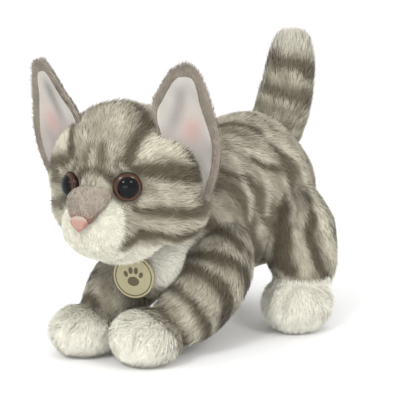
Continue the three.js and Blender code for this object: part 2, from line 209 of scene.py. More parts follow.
class Spine:
    """A smooth curve through points, followed by its length from 0 to 1."""

    def __init__(self, points, steps=40):
        points = np.asarray(points, float)
        ends = (2 * points[0] - points[1], 2 * points[-1] - points[-2])
        knots = np.vstack([ends[0], points, ends[1]])
        line = [self._span(*knots[i : i + 4], steps) for i in range(len(points) - 1)]
        self.line = np.vstack([*line, points[-1]])
        lengths = np.linalg.norm(np.diff(self.line, axis=0), axis=1)
        self.length = lengths.sum()
        self.shares = np.concatenate([[0], np.cumsum(lengths)]) / self.length

    @staticmethod
    def _span(p0, p1, p2, p3, steps):
        """A centripetal Catmull-Rom curve from p1 up to p2."""
        t1 = math.sqrt(np.linalg.norm(p1 - p0))
        t2 = t1 + math.sqrt(np.linalg.norm(p2 - p1))
        t3 = t2 + math.sqrt(np.linalg.norm(p3 - p2))
        t = np.linspace(t1, t2, steps, endpoint=False)[:, None]
        a1 = p0 * (t1 - t) / t1 + p1 * t / t1
        a2 = p1 * (t2 - t) / (t2 - t1) + p2 * (t - t1) / (t2 - t1)
        a3 = p2 * (t3 - t) / (t3 - t2) + p3 * (t - t2) / (t3 - t2)
        b1 = a1 * (t2 - t) / t2 + a2 * t / t2
        b2 = a2 * (t3 - t) / (t3 - t1) + a3 * (t - t1) / (t3 - t1)
        return b1 * (t2 - t) / (t2 - t1) + b2 * (t - t1) / (t2 - t1)

    def at(self, share):
        """Points of the curve at shares of its length."""
        return np.stack([np.interp(share, self.shares, self.line[:, k]) for k in range(3)], -1)

    def tangent(self, share):
        step = 0.01
        ahead = self.at(np.clip(np.asarray(share) + step, 0, 1))
        behind = self.at(np.clip(np.asarray(share) - step, 0, 1))
        return unit(ahead - behind)

    def nearest(self, points, samples=90):
        """For each point, the share of the curve that is nearest."""
        shares = np.linspace(0, 1, samples)
        marks = self.at(shares)
        best, least = np.zeros(len(points)), np.full(len(points), 1e18)
        for share, mark in zip(shares, marks):
            far = ((points - mark) ** 2).sum(1)
            closer = far < least
            best[closer], least[closer] = share, far[closer]
        return best


def between(values, share):
    """A value between the numbers of a list, at shares from 0 to 1, without corners."""
    at = np.clip(share, 0, 1) * (len(values) - 1)
    i = np.minimum(np.floor(at).astype(int), len(values) - 2)
    values = np.asarray(values, float)
    t = smooth(at - i, 0, 1)
    return values[i] * (1 - t) + values[i + 1] * t


def turns(around):
    """Angles evenly spaced round a circle."""
    return 2 * np.pi * np.arange(around) / around


def capped_faces(rows, around):
    """The faces of a closed shape: a first point, then rows of rings, then a last point."""
    faces = []
    last = 1 + rows * around
    for j in range(around):
        k = (j + 1) % around
        faces.append((0, 1 + k, 1 + j))
        faces.append((last, 1 + (rows - 1) * around + j, 1 + (rows - 1) * around + k))
        for i in range(rows - 1):
            a, b = 1 + i * around + j, 1 + i * around + k
            faces.append((a, b, b + around, a + around))
    return faces


def ball_grid(around, along):
    """A closed ball of rings from the pole +Y to the pole -Y: its points, and its faces."""
    turn = turns(around)
    rings = []
    for i in range(1, along):
        tilt = math.pi * i / along
        height = np.full(around, np.cos(tilt))
        rings.append(np.stack([np.sin(tilt) * np.cos(turn), height, np.sin(tilt) * np.sin(turn)], 1))
    points = np.vstack([[[0, 1, 0]], *rings, [[0, -1, 0]]])
    return points, capped_faces(along - 1, around)


def limb(shape, side=1, grow=0.0, around=48, along=40, end=()):
    """A stuffed shape round a spine, grown all round. `end` adds points to the spine."""
    spine = Spine([mirrored(p, side) for p in shape["spine"]] + [np.array(p, float) for p in end])
    across = mirrored(shape.get("across", [1, 0, 0]), side) * side
    ball, faces = ball_grid(around, along)
    share = (1 - ball[:, 1]) / 2
    ring = np.hypot(ball[:, 0], ball[:, 2])
    fullness = np.where(ring < 1e-6, 0, np.maximum(ring, 1e-6) ** (shape["blunt"] - 1))
    tangent = spine.tangent(share)
    sideways = unit(across - tangent * dot(tangent, across)[:, None])
    upwards = np.cross(sideways, tangent)
    aside = ball[:, 0] * fullness * (between(shape["width"], share) + grow)
    raised = -ball[:, 2] * fullness * (between(shape["height"], share) + grow)
    raised = raised + shape.get("cup", 0) * aside**2
    points = spine.at(share) - tangent * (ball[:, 1] * grow)[:, None]
    points = points + sideways * aside[:, None] + upwards * raised[:, None]
    return points, faces


def ellipsoid(centre, radii, grow=0.0, around=48, along=32):
    ball, faces = ball_grid(around, along)
    return ball * (np.array(radii, float) + grow) + np.array(centre, float), faces


# ---- Skins: closed cloth shapes as numbers ---------------------------------------------------------------


class Skin:
    """A cloth skin in millimetres: its points, its faces, and what is worked out from them."""

    def __init__(self, points, faces):
        self.points = np.asarray(points, float)
        self.faces = [tuple(face) for face in faces]

    @property
    def triangles(self):
        corners = []
        for face in self.faces:
            for i in range(1, len(face) - 1):
                corners.append((face[0], face[i], face[i + 1]))
        return np.array(corners)

    def normals(self):
        """Each point's outward direction, weighted by the area of the faces round it."""
        triangles = self.triangles
        a, b, c = (self.points[triangles[:, k]] for k in range(3))
        square = np.cross(b - a, c - a)
        total = np.zeros_like(self.points)
        for k in range(3):
            np.add.at(total, triangles[:, k], square)
        return unit(total)

    def tree(self):
        return BVHTree.FromPolygons(self.points.tolist(), self.faces)


def bare_mesh(points, faces):
    mesh = bpy.data.meshes.new("work")
    mesh.from_pydata(np.asarray(points).tolist(), [], faces)
    mesh.update()
    return mesh


def joined(parts):
    """The points and faces of several parts as one."""
    points, faces, start = [], [], 0
    for part_points, part_faces in parts:
        points.append(part_points)
        faces += [tuple(i + start for i in face) for face in part_faces]
        start += len(part_points)
    return np.vstack(points), faces


def remeshed(parts, voxel=VOXEL, relax=6):
    """The union of closed parts as one even skin, with its joins relaxed."""
    mesh = bare_mesh(*joined(parts))
    worker = bpy.data.objects.new("work", mesh)
    bpy.context.scene.collection.objects.link(worker)
    remesh = worker.modifiers.new("remesh", "REMESH")
    remesh.mode = "VOXEL"
    remesh.voxel_size = voxel
    relaxing = worker.modifiers.new("relax", "SMOOTH")
    relaxing.factor = 0.5
    relaxing.iterations = relax
    made = worker.evaluated_get(bpy.context.evaluated_depsgraph_get()).to_mesh()
    skin = Skin(read_points(made), [tuple(p.vertices) for p in made.polygons])
    bpy.data.objects.remove(worker)
    bpy.data.meshes.remove(mesh)
    return skin


def read_points(mesh):
    flat = np.zeros(len(mesh.vertices) * 3, np.float32)
    mesh.vertices.foreach_get("co", flat)
    return flat.reshape(-1, 3).astype(float)


def kept_faces(skin, keep):
    """A skin of the faces whose middle passes the test, without loose points."""
    middles = np.array([skin.points[list(face)].mean(0) for face in skin.faces])
    wanted = keep(middles)
    faces = [face for face, good in zip(skin.faces, wanted) if good]
    used = np.unique(np.concatenate([np.array(face) for face in faces]))
    place = np.full(len(skin.points), -1)
    place[used] = np.arange(len(used))
    return Skin(skin.points[used], [tuple(place[list(face)]) for face in faces])


def on_floor(points):
    """Points under the floor are brought up to it, which flattens a sole."""
    low = FLOOR_GAP + 1.5
    lifted = points.copy()
    below = lifted[:, 2] < low
    lifted[below, 2] = low - 1.2 * (1 - np.exp((lifted[below, 2] - low) / 6))
    return lifted


# ---- Blender objects -------------------------------------------------------------------------------------


def to_frame(points):
    return (np.asarray(points, float) + ORIGIN_SHIFT) / 1000


def make_object(name, points, faces, material, colours=None, shade_smooth=True):
    """A Blender object from points in millimetres, with a colour at each point where colours are given."""
    mesh = bpy.data.meshes.new(name)
    mesh.from_pydata(to_frame(points).tolist(), [], [tuple(int(i) for i in face) for face in faces])
    mesh.polygons.foreach_set("use_smooth", [shade_smooth] * len(mesh.polygons))
    if colours is not None:
        write_colours(mesh, colours)
    mesh.materials.append(material)
    mesh.update()
    piece = bpy.data.objects.new(name, mesh)
    bpy.context.scene.collection.objects.link(piece)
    return piece


def write_colours(mesh, colours):
    layer = mesh.attributes.new("coat", "FLOAT_COLOR", "POINT")
    rgba = np.ones((len(mesh.vertices), 4), np.float32)
    rgba[:, :3] = colours
    layer.data.foreach_set("color", rgba.ravel())


# ---- The pile: blades of fibre on a skin -----------------------------------------------------------------

BLADE_STATIONS = np.array([0, 0.34, 0.62, 0.85])
BLADE_WIDTHS = np.array([1, 0.95, 0.75, 0.42])
BLADE_FLOOR = 0.3  # no fibre reaches lower than this
LIFT_SPREAD = 7  # how unevenly the fibres stand up, in degrees
# how dark each blade's root is painted, as shade from the pile standing over it
ROOT_SHADE = 0.62


def scatter(skin, count, dice):
    """Roots spread over a skin: their places and the skin's direction there."""
    triangles = skin.triangles
    a, b, c = (skin.points[triangles[:, k]] for k in range(3))
    area = np.linalg.norm(np.cross(b - a, c - a), axis=1) / 2
    steps = np.cumsum(area)
    picks = (np.arange(count) + dice.random(count)) / count * steps[-1]
    chosen = np.minimum(np.searchsorted(steps, picks), len(area) - 1)
    u, v = dice.random(count), dice.random(count)
    over = u + v > 1
    u[over], v[over] = 1 - u[over], 1 - v[over]
    w = 1 - u - v
    normals = skin.normals()
    corners = triangles[chosen]

    def blended(values):
        first, second, third = (values[corners[:, k]] for k in range(3))
        return first * w[:, None] + second * u[:, None] + third * v[:, None]

    return blended(skin.points), unit(blended(normals))


def tuft_offsets(points, size, seed):
    """A random sideways push for each small cell of space, so that neighbouring fibres lean together."""
    cells = np.floor(points / size + 1000).astype(np.int64)
    mixed = (cells[:, 0] * 73856093) ^ (cells[:, 1] * 19349663) ^ (cells[:, 2] * 83492791) ^ seed
    offsets = np.empty((len(points), 3))
    for k in range(3):
        mixed = (mixed * 6364136223846793005 + 1442695040888963407) & 0x7FFFFFFFFFFFFFFF
        offsets[:, k] = ((mixed >> 20) & 0xFFFFF) / float(0xFFFFF) * 2 - 1
    return offsets


def grow_pile(
    name,
    skin,
    count,
    coat,
    flow,
    material,
    length=8.0,
    lift=30.0,
    width=0.42,
    droop=0.35,
    tuft=3.0,
    tuft_pull=0.16,
    keep=None,
    seed=1,
    root_shade=ROOT_SHADE,
):
    """A pile of blades that lean along the flow.

    coat gives each root's colour, and keep says which roots stay. length and root_shade, the painted shade at
    the root, may be functions of the roots.
    """
    dice = np.random.default_rng(seed)
    roots, out = scatter(skin, count, dice)
    if keep is not None:
        good = keep(roots, out)
        roots, out = roots[good], out[good]
    count = len(roots)
    along = flow(roots, out)
    along = unit(along - out * dot(along, out)[:, None])
    aside = np.cross(out, along)
    swing = dice.normal(0, 0.16, count) + 0.25 * Ripple(seed + 5, 22)(roots)
    along = unit(along * np.cos(swing)[:, None] + aside * np.sin(swing)[:, None])
    long = (length(roots) if callable(length) else length) * dice.uniform(0.72, 1.12, count)
    raised = np.radians(lift + dice.normal(0, LIFT_SPREAD, count))
    first = along * np.cos(raised)[:, None] + out * np.sin(raised)[:, None]
    lean = unit(along - out * 0.35)
    push = tuft_offsets(roots + along * 2, tuft, seed) + 0.6 * tuft_offsets(roots, tuft * 0.45, seed + 9)
    push = push - out * dot(push, out)[:, None] * 0.8
    push = push * tuft_pull * long[:, None]
    twist = np.radians(dice.uniform(-50, 50, count))
    flat = np.cross(first, out)
    flat = unit(flat) * np.cos(twist)[:, None] + unit(np.cross(first, flat)) * np.sin(twist)[:, None]
    wide = width * dice.uniform(0.75, 1.25, count)
    stations = []
    for share, narrow in zip(BLADE_STATIONS, BLADE_WIDTHS):
        middle = roots + first * (long * share)[:, None] + lean * (long * droop * share**2)[:, None]
        middle = middle + push * share**1.5
        half = flat * (wide * narrow / 2)[:, None]
        stations += [middle - half, middle + half]
    tip = roots + first * long[:, None] + lean * (long * droop)[:, None] + push
    points = np.stack([*stations, tip], 1)
    points[:, :, 2] = np.maximum(points[:, :, 2], BLADE_FLOOR)
    tone = dice.normal(1, 0.06, count) * (1 + 0.05 * Ripple(seed + 3, 9)(roots))
    base = coat(roots + along * (long * 0.45)[:, None] + dice.normal(0, 0.5, (count, 3)))
    colours = blade_colours(base * tone[:, None], root_shade(roots) if callable(root_shade) else root_shade)
    return blades_object(name, points.reshape(-1, 3), count, colours, out, material)


def blade_colours(base, root_shade):
    """Colours at each blade's points: painted shade at the root, root_shade times the coat's there, and a
    little lighter at the tip.
    """
    darkening = np.repeat(np.array([1, 0.43, 0, 0, 0]), [2, 2, 2, 2, 1])
    lightening = np.repeat(np.array([0, 0, 0, 0.03, 0.06]), [2, 2, 2, 2, 1])
    root_shade = np.broadcast_to(root_shade, (len(base),))
    shades = 1 - (1 - root_shade)[:, None] * darkening[None, :] + lightening[None, :]
    return (base[:, None, :] * shades[:, :, None]).reshape(-1, 3)


def blades_object(name, points, count, colours, out, material):
    """One mesh of blades, each of three four-sided faces and a tip."""
    quads = np.array([[0, 1, 3, 2], [2, 3, 5, 4], [4, 5, 7, 6]]).ravel()
    one = np.concatenate([quads, [6, 7, 8]])
    corners = (one[None, :] + 9 * np.arange(count)[:, None]).ravel().astype(np.int32)
    starts = (np.array([0, 4, 8, 12])[None, :] + 15 * np.arange(count)[:, None]).ravel().astype(np.int32)
    mesh = bpy.data.meshes.new(name)
    mesh.vertices.add(9 * count)
    mesh.loops.add(15 * count)
    mesh.polygons.add(4 * count)
    mesh.vertices.foreach_set("co", to_frame(points).astype(np.float32).ravel())
    mesh.loops.foreach_set("vertex_index", corners)
    mesh.polygons.foreach_set("loop_start", starts)
    mesh.polygons.foreach_set("use_smooth", np.ones(4 * count, bool))
    write_colours(mesh, colours)
    mesh.update(calc_edges=True)
    soften_normals(mesh, points.reshape(count, 9, 3), out)
    write_atlas(mesh, count)
    mesh.materials.append(material)
    piece = bpy.data.objects.new(name, mesh)
    bpy.context.scene.collection.objects.link(piece)
    return piece


def soften_normals(mesh, points, out, softness=0.6):
    """Leans each blade's shading towards the skin's own direction, which gives a pile its soft look."""
    across = points[:, 1] - points[:, 0]
    lengthwise = points[:, 6] - points[:, 0]
    face = unit(np.cross(across, lengthwise))
    face[dot(face, out) < 0] *= -1
    blended = unit(face * (1 - softness) + out * softness)
    mesh.normals_split_custom_set_from_vertices(np.repeat(blended, 9, axis=0))


def write_atlas(mesh, count):
    """Each blade gets its own small cell of a square of texture."""
    side = math.ceil(math.sqrt(count))
    cell = 1 / side
    corner = np.stack([np.arange(count) % side, np.arange(count) // side], 1) * cell
    heights = np.repeat([0.06, 0.34, 0.62, 0.85, 0.96], [2, 2, 2, 2, 1])
    sides = np.array([0.1, 0.9] * 4 + [0.5])
    one = np.concatenate([[0, 1, 3, 2], [2, 3, 5, 4], [4, 5, 7, 6], [6, 7, 8]])
    local = np.stack([sides[one], heights[one]], 1) * cell
    uv = (corner[:, None, :] + local[None, :, :]).astype(np.float32)
    mesh.uv_layers.new(name="OFBake").data.foreach_set("uv", uv.ravel())


# ---- Materials -------------------------------------------------------------------------------------------


class Nodes:
    """A material's node tree, built a node at a time."""

    def __init__(self, name, roughness=0.8, **constants):
        self.material = bpy.data.materials.new(name)
        self.material.use_nodes = True
        self.tree = self.material.node_tree
        self.shader = self.tree.nodes["Principled BSDF"]
        self.shader.inputs["Roughness"].default_value = roughness
        for socket, value in constants.items():
            self.shader.inputs[socket.replace("_", " ")].default_value = value

    def add(self, kind, inputs=None, **settings):
        node = self.tree.nodes.new(kind)
        for key, value in settings.items():
            setattr(node, key, value)
        for key, value in (inputs or {}).items():
            self.feed(node.inputs[key], value)
        return node

    def feed(self, socket, value):
        if isinstance(value, bpy.types.NodeSocket):
            self.tree.links.new(value, socket)
        else:
            socket.default_value = value

    def place(self):
        """The object's own coordinates, in metres."""
        return self.add("ShaderNodeTexCoord").outputs["Object"]

    def noise(self, scale, detail=3.0, roughness=0.5):
        inputs = {"Vector": self.place(), "Scale": scale, "Detail": detail, "Roughness": roughness}
        return self.add("ShaderNodeTexNoise", inputs).outputs["Fac"]

    def ramp(self, value, stops):
        """A colour ramp of (place, colour) stops, through `value`."""
        node = self.add("ShaderNodeValToRGB", {"Fac": value})
        elements = node.color_ramp.elements
        while len(elements) < len(stops):
            elements.new(0.5)
        for element, (place, colour) in zip(elements, stops):
            element.position = place
            element.color = (*colour, 1)
        return node.outputs["Color"]

    def grey_ramp(self, value, low, high):
        return self.ramp(value, [(0.3, (low,) * 3), (0.7, (high,) * 3)])

    def multiply(self, a, b):
        node = self.add("ShaderNodeMix", {"Factor": 1.0}, data_type="RGBA", blend_type="MULTIPLY")
        self.feed(node.inputs[6], a)
        self.feed(node.inputs[7], b)
        return node.outputs[2]

    def colour(self, value):
        self.feed(self.shader.inputs["Base Color"], value)

    def roughness(self, value):
        self.feed(self.shader.inputs["Roughness"], value)

    def bump(self, height, distance, strength=1.0):
        inputs = {"Height": height, "Distance": distance, "Strength": strength}
        self.feed(self.shader.inputs["Normal"], self.add("ShaderNodeBump", inputs).outputs["Normal"])


def coat_colour(nodes, scale, low):
    """The colour painted on the points, with small uneven shades of the dye."""
    paint = nodes.add("ShaderNodeAttribute", attribute_name="coat").outputs["Color"]
    return nodes.multiply(paint, nodes.grey_ramp(nodes.noise(scale), low, 1.0))


def pile_material(name, roughness=0.86):
    nodes = Nodes(name, Sheen_Weight=0.18, Sheen_Roughness=0.45, Specular_IOR_Level=0.22)
    nodes.colour(coat_colour(nodes, 260, 0.9))
    nodes.roughness(nodes.grey_ramp(nodes.noise(420), roughness - 0.06, roughness + 0.08))
    return nodes.material


def backing_material(name):
    """The knitted cloth under the pile."""
    nodes = Nodes(name, Sheen_Weight=0.15, Specular_IOR_Level=0.15)
    nodes.colour(coat_colour(nodes, 500, 0.8))
    nodes.roughness(nodes.grey_ramp(nodes.noise(900), 0.85, 1.0))
    nodes.bump(nodes.noise(1800, 2), 0.0004)
    return nodes.material


PILE = pile_material("pile")
BACKING = backing_material("backing_cloth")

# ---- Colours ---------------------------------------------------------------------------------------------

CREAM = linear(196, 191, 172)
GREY = linear(160, 154, 136)
STRIPE = linear(112, 104, 86)
DARK = linear(78, 71, 58)
PALE = linear(212, 208, 188)
WHITE = linear(244, 242, 229)
MUZZLE_WHITE = linear(224, 222, 206)
CHIN = linear(232, 229, 214)
TAIL_TIP = linear(204, 200, 185)
TAUPE = linear(182, 170, 156)
EAR_TAUPE = linear(168, 158, 144)
NOSE_PINK = linear(170, 134, 120)
NOSE_RED = linear(152, 98, 88)
LINING = linear(179, 175, 167)
LINING_PINK = linear(180, 138, 130)
# the grey of the lining's painted shade, also used for its uneven cloudy tone
LINING_SHADE = linear(128, 123, 119)

WAVER = Ripple(11, 30)
MOTTLE = Ripple(12, 15)
EDGE = 4.6  # how softly a printed stripe ends
STRIPE_SPREAD = 1.1


def wavy(points, reach=1.4):
    """Points pushed about a little, so that what is printed on them has uneven edges."""
    pushes = [WAVER(points), WAVER(points + 31), WAVER(points + 67)]
    return points + np.stack(pushes, 1) * reach


def cover_of(points, line, half):
    """How much a soft band along a line of points covers each point: 1 in its middle, and 0 past its edge."""
    steps = 8
    path = Spine(line, steps=steps)
    shares = np.linspace(0, 1, steps * (len(line) - 1) + 1)
    marks = path.at(shares)
    halves = STRIPE_SPREAD * (between(half, shares) if np.ndim(half) else np.full(len(shares), float(half)))
    cover = np.zeros(len(points))
    reach = halves.max() + EDGE
    near = np.flatnonzero(((points > marks.min(0) - reach) & (points < marks.max(0) + reach)).all(1))
    close = points[near]
    best = np.full(len(near), 1e9)
    for mark, wide in zip(marks, halves):
        best = np.minimum(best, np.linalg.norm(close - mark, axis=1) - wide)
    cover[near] = 1 - smooth(best, -EDGE / 2, EDGE / 2)
    return cover


def covered(points, lines):
    """The strongest cover of a list of (line, half width, strength)."""
    total = np.zeros(len(points))
    for line, half, strength in lines:
        total = np.maximum(total, np.minimum(1, strength * 1.1) * cover_of(points, line, half))
    return total


def tabby(points, dark, pale):
    """The striped cloth's colour, from how much dark stripes and pale streaks cover each point."""
    base = mix(CREAM, GREY, np.clip(0.62 + 0.38 * MOTTLE(points), 0, 1))
    shade = mix(STRIPE, DARK, smooth(dark, 0.75, 1.0) * 0.36)
    return mix(mix(base, shade, np.clip(dark, 0, 1)), PALE, pale)


# Stripes are lines over the cat's left half, which its right half mirrors: (points, half width, strength). A
# few lines, marked where they stand, are painted shade and a painted highlight instead.
BODY_DARK = [
    ([(0, -4, 152), (7, 2, 150), (16, 20, 148), (24, 30, 143), (31, 36, 135)], 3.6, 0.9),
    ([(31, 36, 135), (36, 41, 124), (41, 43, 110), (50, 34, 92)], [4, 6.5, 5, 6], 0.85),
    ([(15, 2, 149), (25, 15, 146)], 3, 0.7),
    ([(37, 13, 129), (41, 24, 124), (46, 38, 116)], 3.6, 0.85),
    ([(45, 12, 98), (45, 22, 86), (43, 31, 73)], 4.2, 0.8),
    ([(50, 34, 92), (52, 28, 78), (44, 29, 60), (34, 34, 50)], [6, 6, 7, 5], 0.95),
    ([(0, -30, 138), (14, -28, 136), (25, -21, 128), (32, -13, 121), (38, 1, 115), (41, 12, 107)], 3.8, 0.85),
    ([(41, 12, 107), (42, 25, 95), (47, 28, 84)], [5, 4.5, 3], 0.8),
    ([(28, -30, 119), (36, -13, 111), (40, -4, 101), (42, 6, 87), (37, 13, 72), (26, 22, 57)], 5, 0.8),
    ([(26, -46, 104), (36, -34, 93), (42, -22, 84), (50, -16, 74)], 4.5, 0.9),
    ([(36, 50, 126), (44, 53, 110), (53, 48, 98)], 4.5, 0.45),
    ([(47, 53, 98), (46, 56, 90)], 3, 0.9),
    ([(60, 51, 92), (62, 46, 76), (64, 48, 60), (62, 55, 47), (57, 61, 40)], [4, 4.5, 5.5, 5, 4], 1.0),
    ([(54, 27, 76), (49, 27, 66), (48, 30, 55), (54, 34, 49)], [5, 7, 7, 5], 0.95),
    ([(4, 40, 155), (5, 42, 155)], 2.4, 0.65),
    ([(0, 63, 150), (14, 64, 148), (26, 68, 138), (36, 76, 122), (40, 84, 104)], 3.2, 0.55),
    ([(0, 96, 130), (16, 96, 122), (30, 92, 106), (46, 84, 88), (56, 76, 70)], 4.2, 0.9),
    ([(0, 99, 106), (14, 98, 98), (28, 94, 84), (44, 86, 66), (50, 80, 50)], 4.2, 0.85),
    ([(0, 98, 80), (12, 96, 74), (26, 90, 62)], 4, 0.7),
    # painted shade in the crease under the chest, between the forelegs
    ([(0, -50, 52), (10, -30, 44), (16, -6, 38), (16, 20, 38)], 4, 0.35),
]
BODY_PALE = [
    ([(32, 9, 136), (35, 17, 134), (39, 24, 129)], 2.8, 1.0),
    ([(28, -5, 135), (36, -3, 124), (43, 0, 108), (44, 4, 90)], 1.8, 0.8),
    ([(40, 12, 124), (44, 19, 115), (46, 22, 102), (45, 20, 91)], 2.0, 0.75),
    ([(26, 34, 140), (33, 43, 133), (36, 56, 122), (46, 64, 107), (59, 58, 94)], 3, 0.75),
    ([(45, 35, 115), (47, 41, 93), (43, 45, 72)], 2.0, 0.6),
    # a painted highlight: the wide pale band on the outer haunch, towards its rear
    ([(60, 64, 92), (63, 62, 77), (64, 66, 62), (61, 72, 50)], 5.5, 0.95),
    ([(61, 36, 78), (61, 40, 62), (60, 42, 50)], 3.2, 0.55),
    ([(41, 14, 84), (36, 26, 64), (34, 32, 56)], 3, 0.4),
]
FORELEG_DARK = [
    ([(22, -76, 39), (30, -73, 38), (44, -70, 29), (47, -61, 17), (44, -58, 4)], 3.8, 0.85),
    ([(20, -60, 52), (28, -61, 52), (36, -60, 50), (52, -56, 41), (55, -48, 26), (52, -43, 8)], 3.6, 0.9),
    ([(22, -50, 60), (34, -51, 61), (42, -49, 61), (54, -43, 53), (58, -35, 38), (54, -31, 18)], 5.6, 0.92),
    ([(24, -46, 68), (34, -44, 68), (48, -37, 68), (56, -25, 62), (58, -16, 53), (52, -10, 42)], 4.2, 0.95),
    ([(46, -24, 82), (56, -12, 74), (52, 0, 62)], 3, 0.45),
]
FORELEG_PALE = [
    ([(20, -66, 46), (28, -65, 45), (47, -63, 37), (52, -57, 23), (50, -52, 6)], 1.5, 1.0),
    ([(40, -56, 51), (54, -51, 40), (56, -42, 24), (52, -37, 8)], 1.5, 0.6),
    ([(36, -50, 67), (50, -41, 62), (58, -30, 50), (58, -25, 34)], 1.4, 0.4),
]
HEAD_DARK = [
    ([(19, -42, 12), (20, -37, 21), (23, -28, 31), (24, -17, 39), (17, -10, 45), (6, -8, 48)], 4.2, 0.95),
    ([(6, -8, 48), (0, -2, 50), (0, 14, 47), (0, 30, 38)], 4, 0.7),
    ([(4, -43, 25), (6, -45, 16)], 3.4, 0.75),
    ([(3, -47, 9), (12, -46, 6)], 3.4, 0.85),
    ([(24, -20, 42), (33, -16, 37)], 4.5, 0.95),
    # down from the ear's inner base: partly dark fur and partly painted shade from the ear
    ([(32, -17, 38), (40, -14, 33), (47, -9, 24), (51, -3, 12)], 4.5, 1.0),
    (
        [(17, -45, 15), (22, -42, 12), (30, -38, 12), (39, -31, 9), (47, -18, 7), (51, 0, 4), (48, 18, 0)],
        [3.5, 4.2, 5, 6, 6.5, 6, 4],
        1.0,
    ),
    (
        [(25, -42, -12), (34, -38, -15), (44, -30, -18), (50, -16, -19), (50, 2, -18), (44, 20, -16)],
        3.4,
        0.85,
    ),
    ([(22, -41, -31), (31, -33, -35), (39, -23, -35), (44, -10, -33), (42, 8, -30)], 3.6, 0.9),
    # painted shade below and beside each eye's outer corner
    ([(29, -39, -3), (26, -41, -9)], 3, 0.7),
    ([(16, 12, 46), (34, 22, 32), (42, 28, 14), (40, 34, -4)], 4.2, 0.9),
    ([(0, 34, 36), (14, 38, 28), (24, 42, 12), (24, 44, -8)], 4.2, 0.9),
]
HEAD_PALE = [
    ([(27, -36, 21), (31, -33, 23), (36, -25, 26), (41, -18, 22)], [2.5, 5, 7, 6], 1.0),
    ([(17, -44, 14), (22, -42, 9)], 1.2, 0.8),
    ([(6, -48, 3), (12, -48, 0)], 1.3, 0.8),
    ([(0, -43, 20), (0, -32, 36), (2, -18, 45)], 3.0, 0.3),
    ([(32, -38, -8), (44, -29, -10), (50, -14, -9)], 3.4, 0.5),
    ([(30, -37, -24), (40, -26, -27), (46, -12, -26)], 3.4, 0.45),
]
# painted shade beside the right eye's outer side; the left side has none
RIGHT_EYE_PAINTED_SHADE = [([(-34, -35, 9), (-35, -36, -4), (-33, -38, -16)], 5.5, 0.85)]
HEAD_STRIPE_BALL = 52


def on_head_ball(points):
    """Points of the head's own space moved out or in onto a ball, where its stripes are drawn."""
    return unit(points) * HEAD_STRIPE_BALL


def drawn_on_head(lines):
    return [(on_head_ball(line), half, strength) for line, half, strength in lines]


def on_left(points):
    return np.stack([np.abs(points[:, 0]), points[:, 1], points[:, 2]], 1)


def laid_on(name, lines, reach=9):
    """Stripe lines moved on to a left skin's surface wherever they run near it."""
    laid = []
    for line, half, strength in lines:
        points = Spine(line, steps=8).at(np.linspace(0, 1, 3 * len(line)))
        for i, point in enumerate(points):
            place, _, _, far = trees[name].find_nearest(Vector(point))
            if far < reach:
                points[i] = place
        laid.append((points, half, strength))
    return laid


def torso_coat(points):
    left = on_left(wavy(points))
    dark, pale = (covered(left, laid_on("torso", lines)) for lines in (BODY_DARK, BODY_PALE))
    colours = tabby(points, dark, pale)
    bib = smooth(-points[:, 1], 38, 45) * smooth(points[:, 2], 44, 52)
    belly = (1 - smooth(points[:, 2], 40, 47)) * smooth(points[:, 1], -10, 20)
    return mix(colours, WHITE, np.maximum(bib, belly * 0.8))


def hind_leg_coat(points):
    left = on_left(wavy(points))
    dark, pale = (covered(left, laid_on("hind_leg_left", lines)) for lines in (BODY_DARK, BODY_PALE))
    return tabby(points, dark, pale)


def foreleg_coat(side):
    """The right foreleg reaches further forward than the left, so its stripes are stretched to suit."""
    left_paw, right_paw = (np.array(FRONT_PAWS[name][0], float) for name in ("left", "right"))
    stretch = np.zeros(3) if side > 0 else left_paw - mirrored(right_paw, -1)

    def coat(points):
        left = on_left(wavy(points))
        forward = smooth(-left[:, 1], 10, 90)
        left = left + forward[:, None] * stretch
        dark = covered(left, laid_on("foreleg_left", FORELEG_DARK + BODY_DARK))
        return tabby(points, dark, covered(left, laid_on("foreleg_left", FORELEG_PALE + BODY_PALE)))

    return coat


def white_coat(points):
    return WHITE * (1 + 0.02 * MOTTLE(points))[:, None]


def muzzle_share(local):
    """1 on the white muzzle of the head's own space, and 0 off it."""
    edge = np.hypot(local[:, 0] / 22.5, (local[:, 2] + 25) / 22)
    return (1 - smooth(edge, 0.97, 1.04)) * smooth(-local[:, 1], 26, 30)


def head_coat(points):
    local = wavy(cat_to_head(points), 1.1)
    ball = on_head_ball(local)
    left = on_left(ball)
    # the dark stripes, and the painted shade beside the right eye
    dark = np.maximum(covered(left, drawn_on_head(HEAD_DARK)), covered(ball, drawn_on_head(RIGHT_EYE_PAINTED_SHADE)))
    colours = tabby(points, dark, covered(left, drawn_on_head(HEAD_PALE)))
    chin = smooth(-local[:, 2], 38, 43) * smooth(-local[:, 1], -4, 14)
    colours = mix(colours, CHIN, chin)
    return mix(colours, MUZZLE_WHITE, muzzle_share(cat_to_head(points)))


TAIL_TILT = np.array([0.17, 0.17, 1.0])
TAIL_RINGS = [(158, 2.4, 0.5), (168, 2.6, 0.55), (183, 5, 0.85), (203, 5.5, 0.9)]
TAIL_BLOTCH = [([(-3, 73, 205), (-4, 72, 197)], 4.2, 1.0)]
TAIL_CREASE = [([(-7, 76, 188), (-9, 72, 178), (-9, 68, 164)], 2.4, 0.5)]


def tail_coat(points):
    moved = wavy(points, 1.8)
    height = moved @ TAIL_TILT
    dark = np.zeros(len(points))
    for place, half, strength in TAIL_RINGS:
        dark = np.maximum(dark, strength * (1 - smooth(np.abs(height - place), half - 1.5, half + 2.5)))
    dark = np.maximum(dark, covered(moved, TAIL_BLOTCH))
    colours = tabby(points, dark, covered(moved, TAIL_CREASE))
    return mix(colours, TAIL_TIP, smooth(height, 210, 217))


# ---- Which way the pile lies -----------------------------------------------------------------------------


def along_spine(spine, fall=0.0):
    """The pile leans down a spine towards its end, and a little towards the floor."""
    def flow(roots, out):
        return spine.tangent(spine.nearest(roots)) + np.array([0, 0, -fall])

    return flow


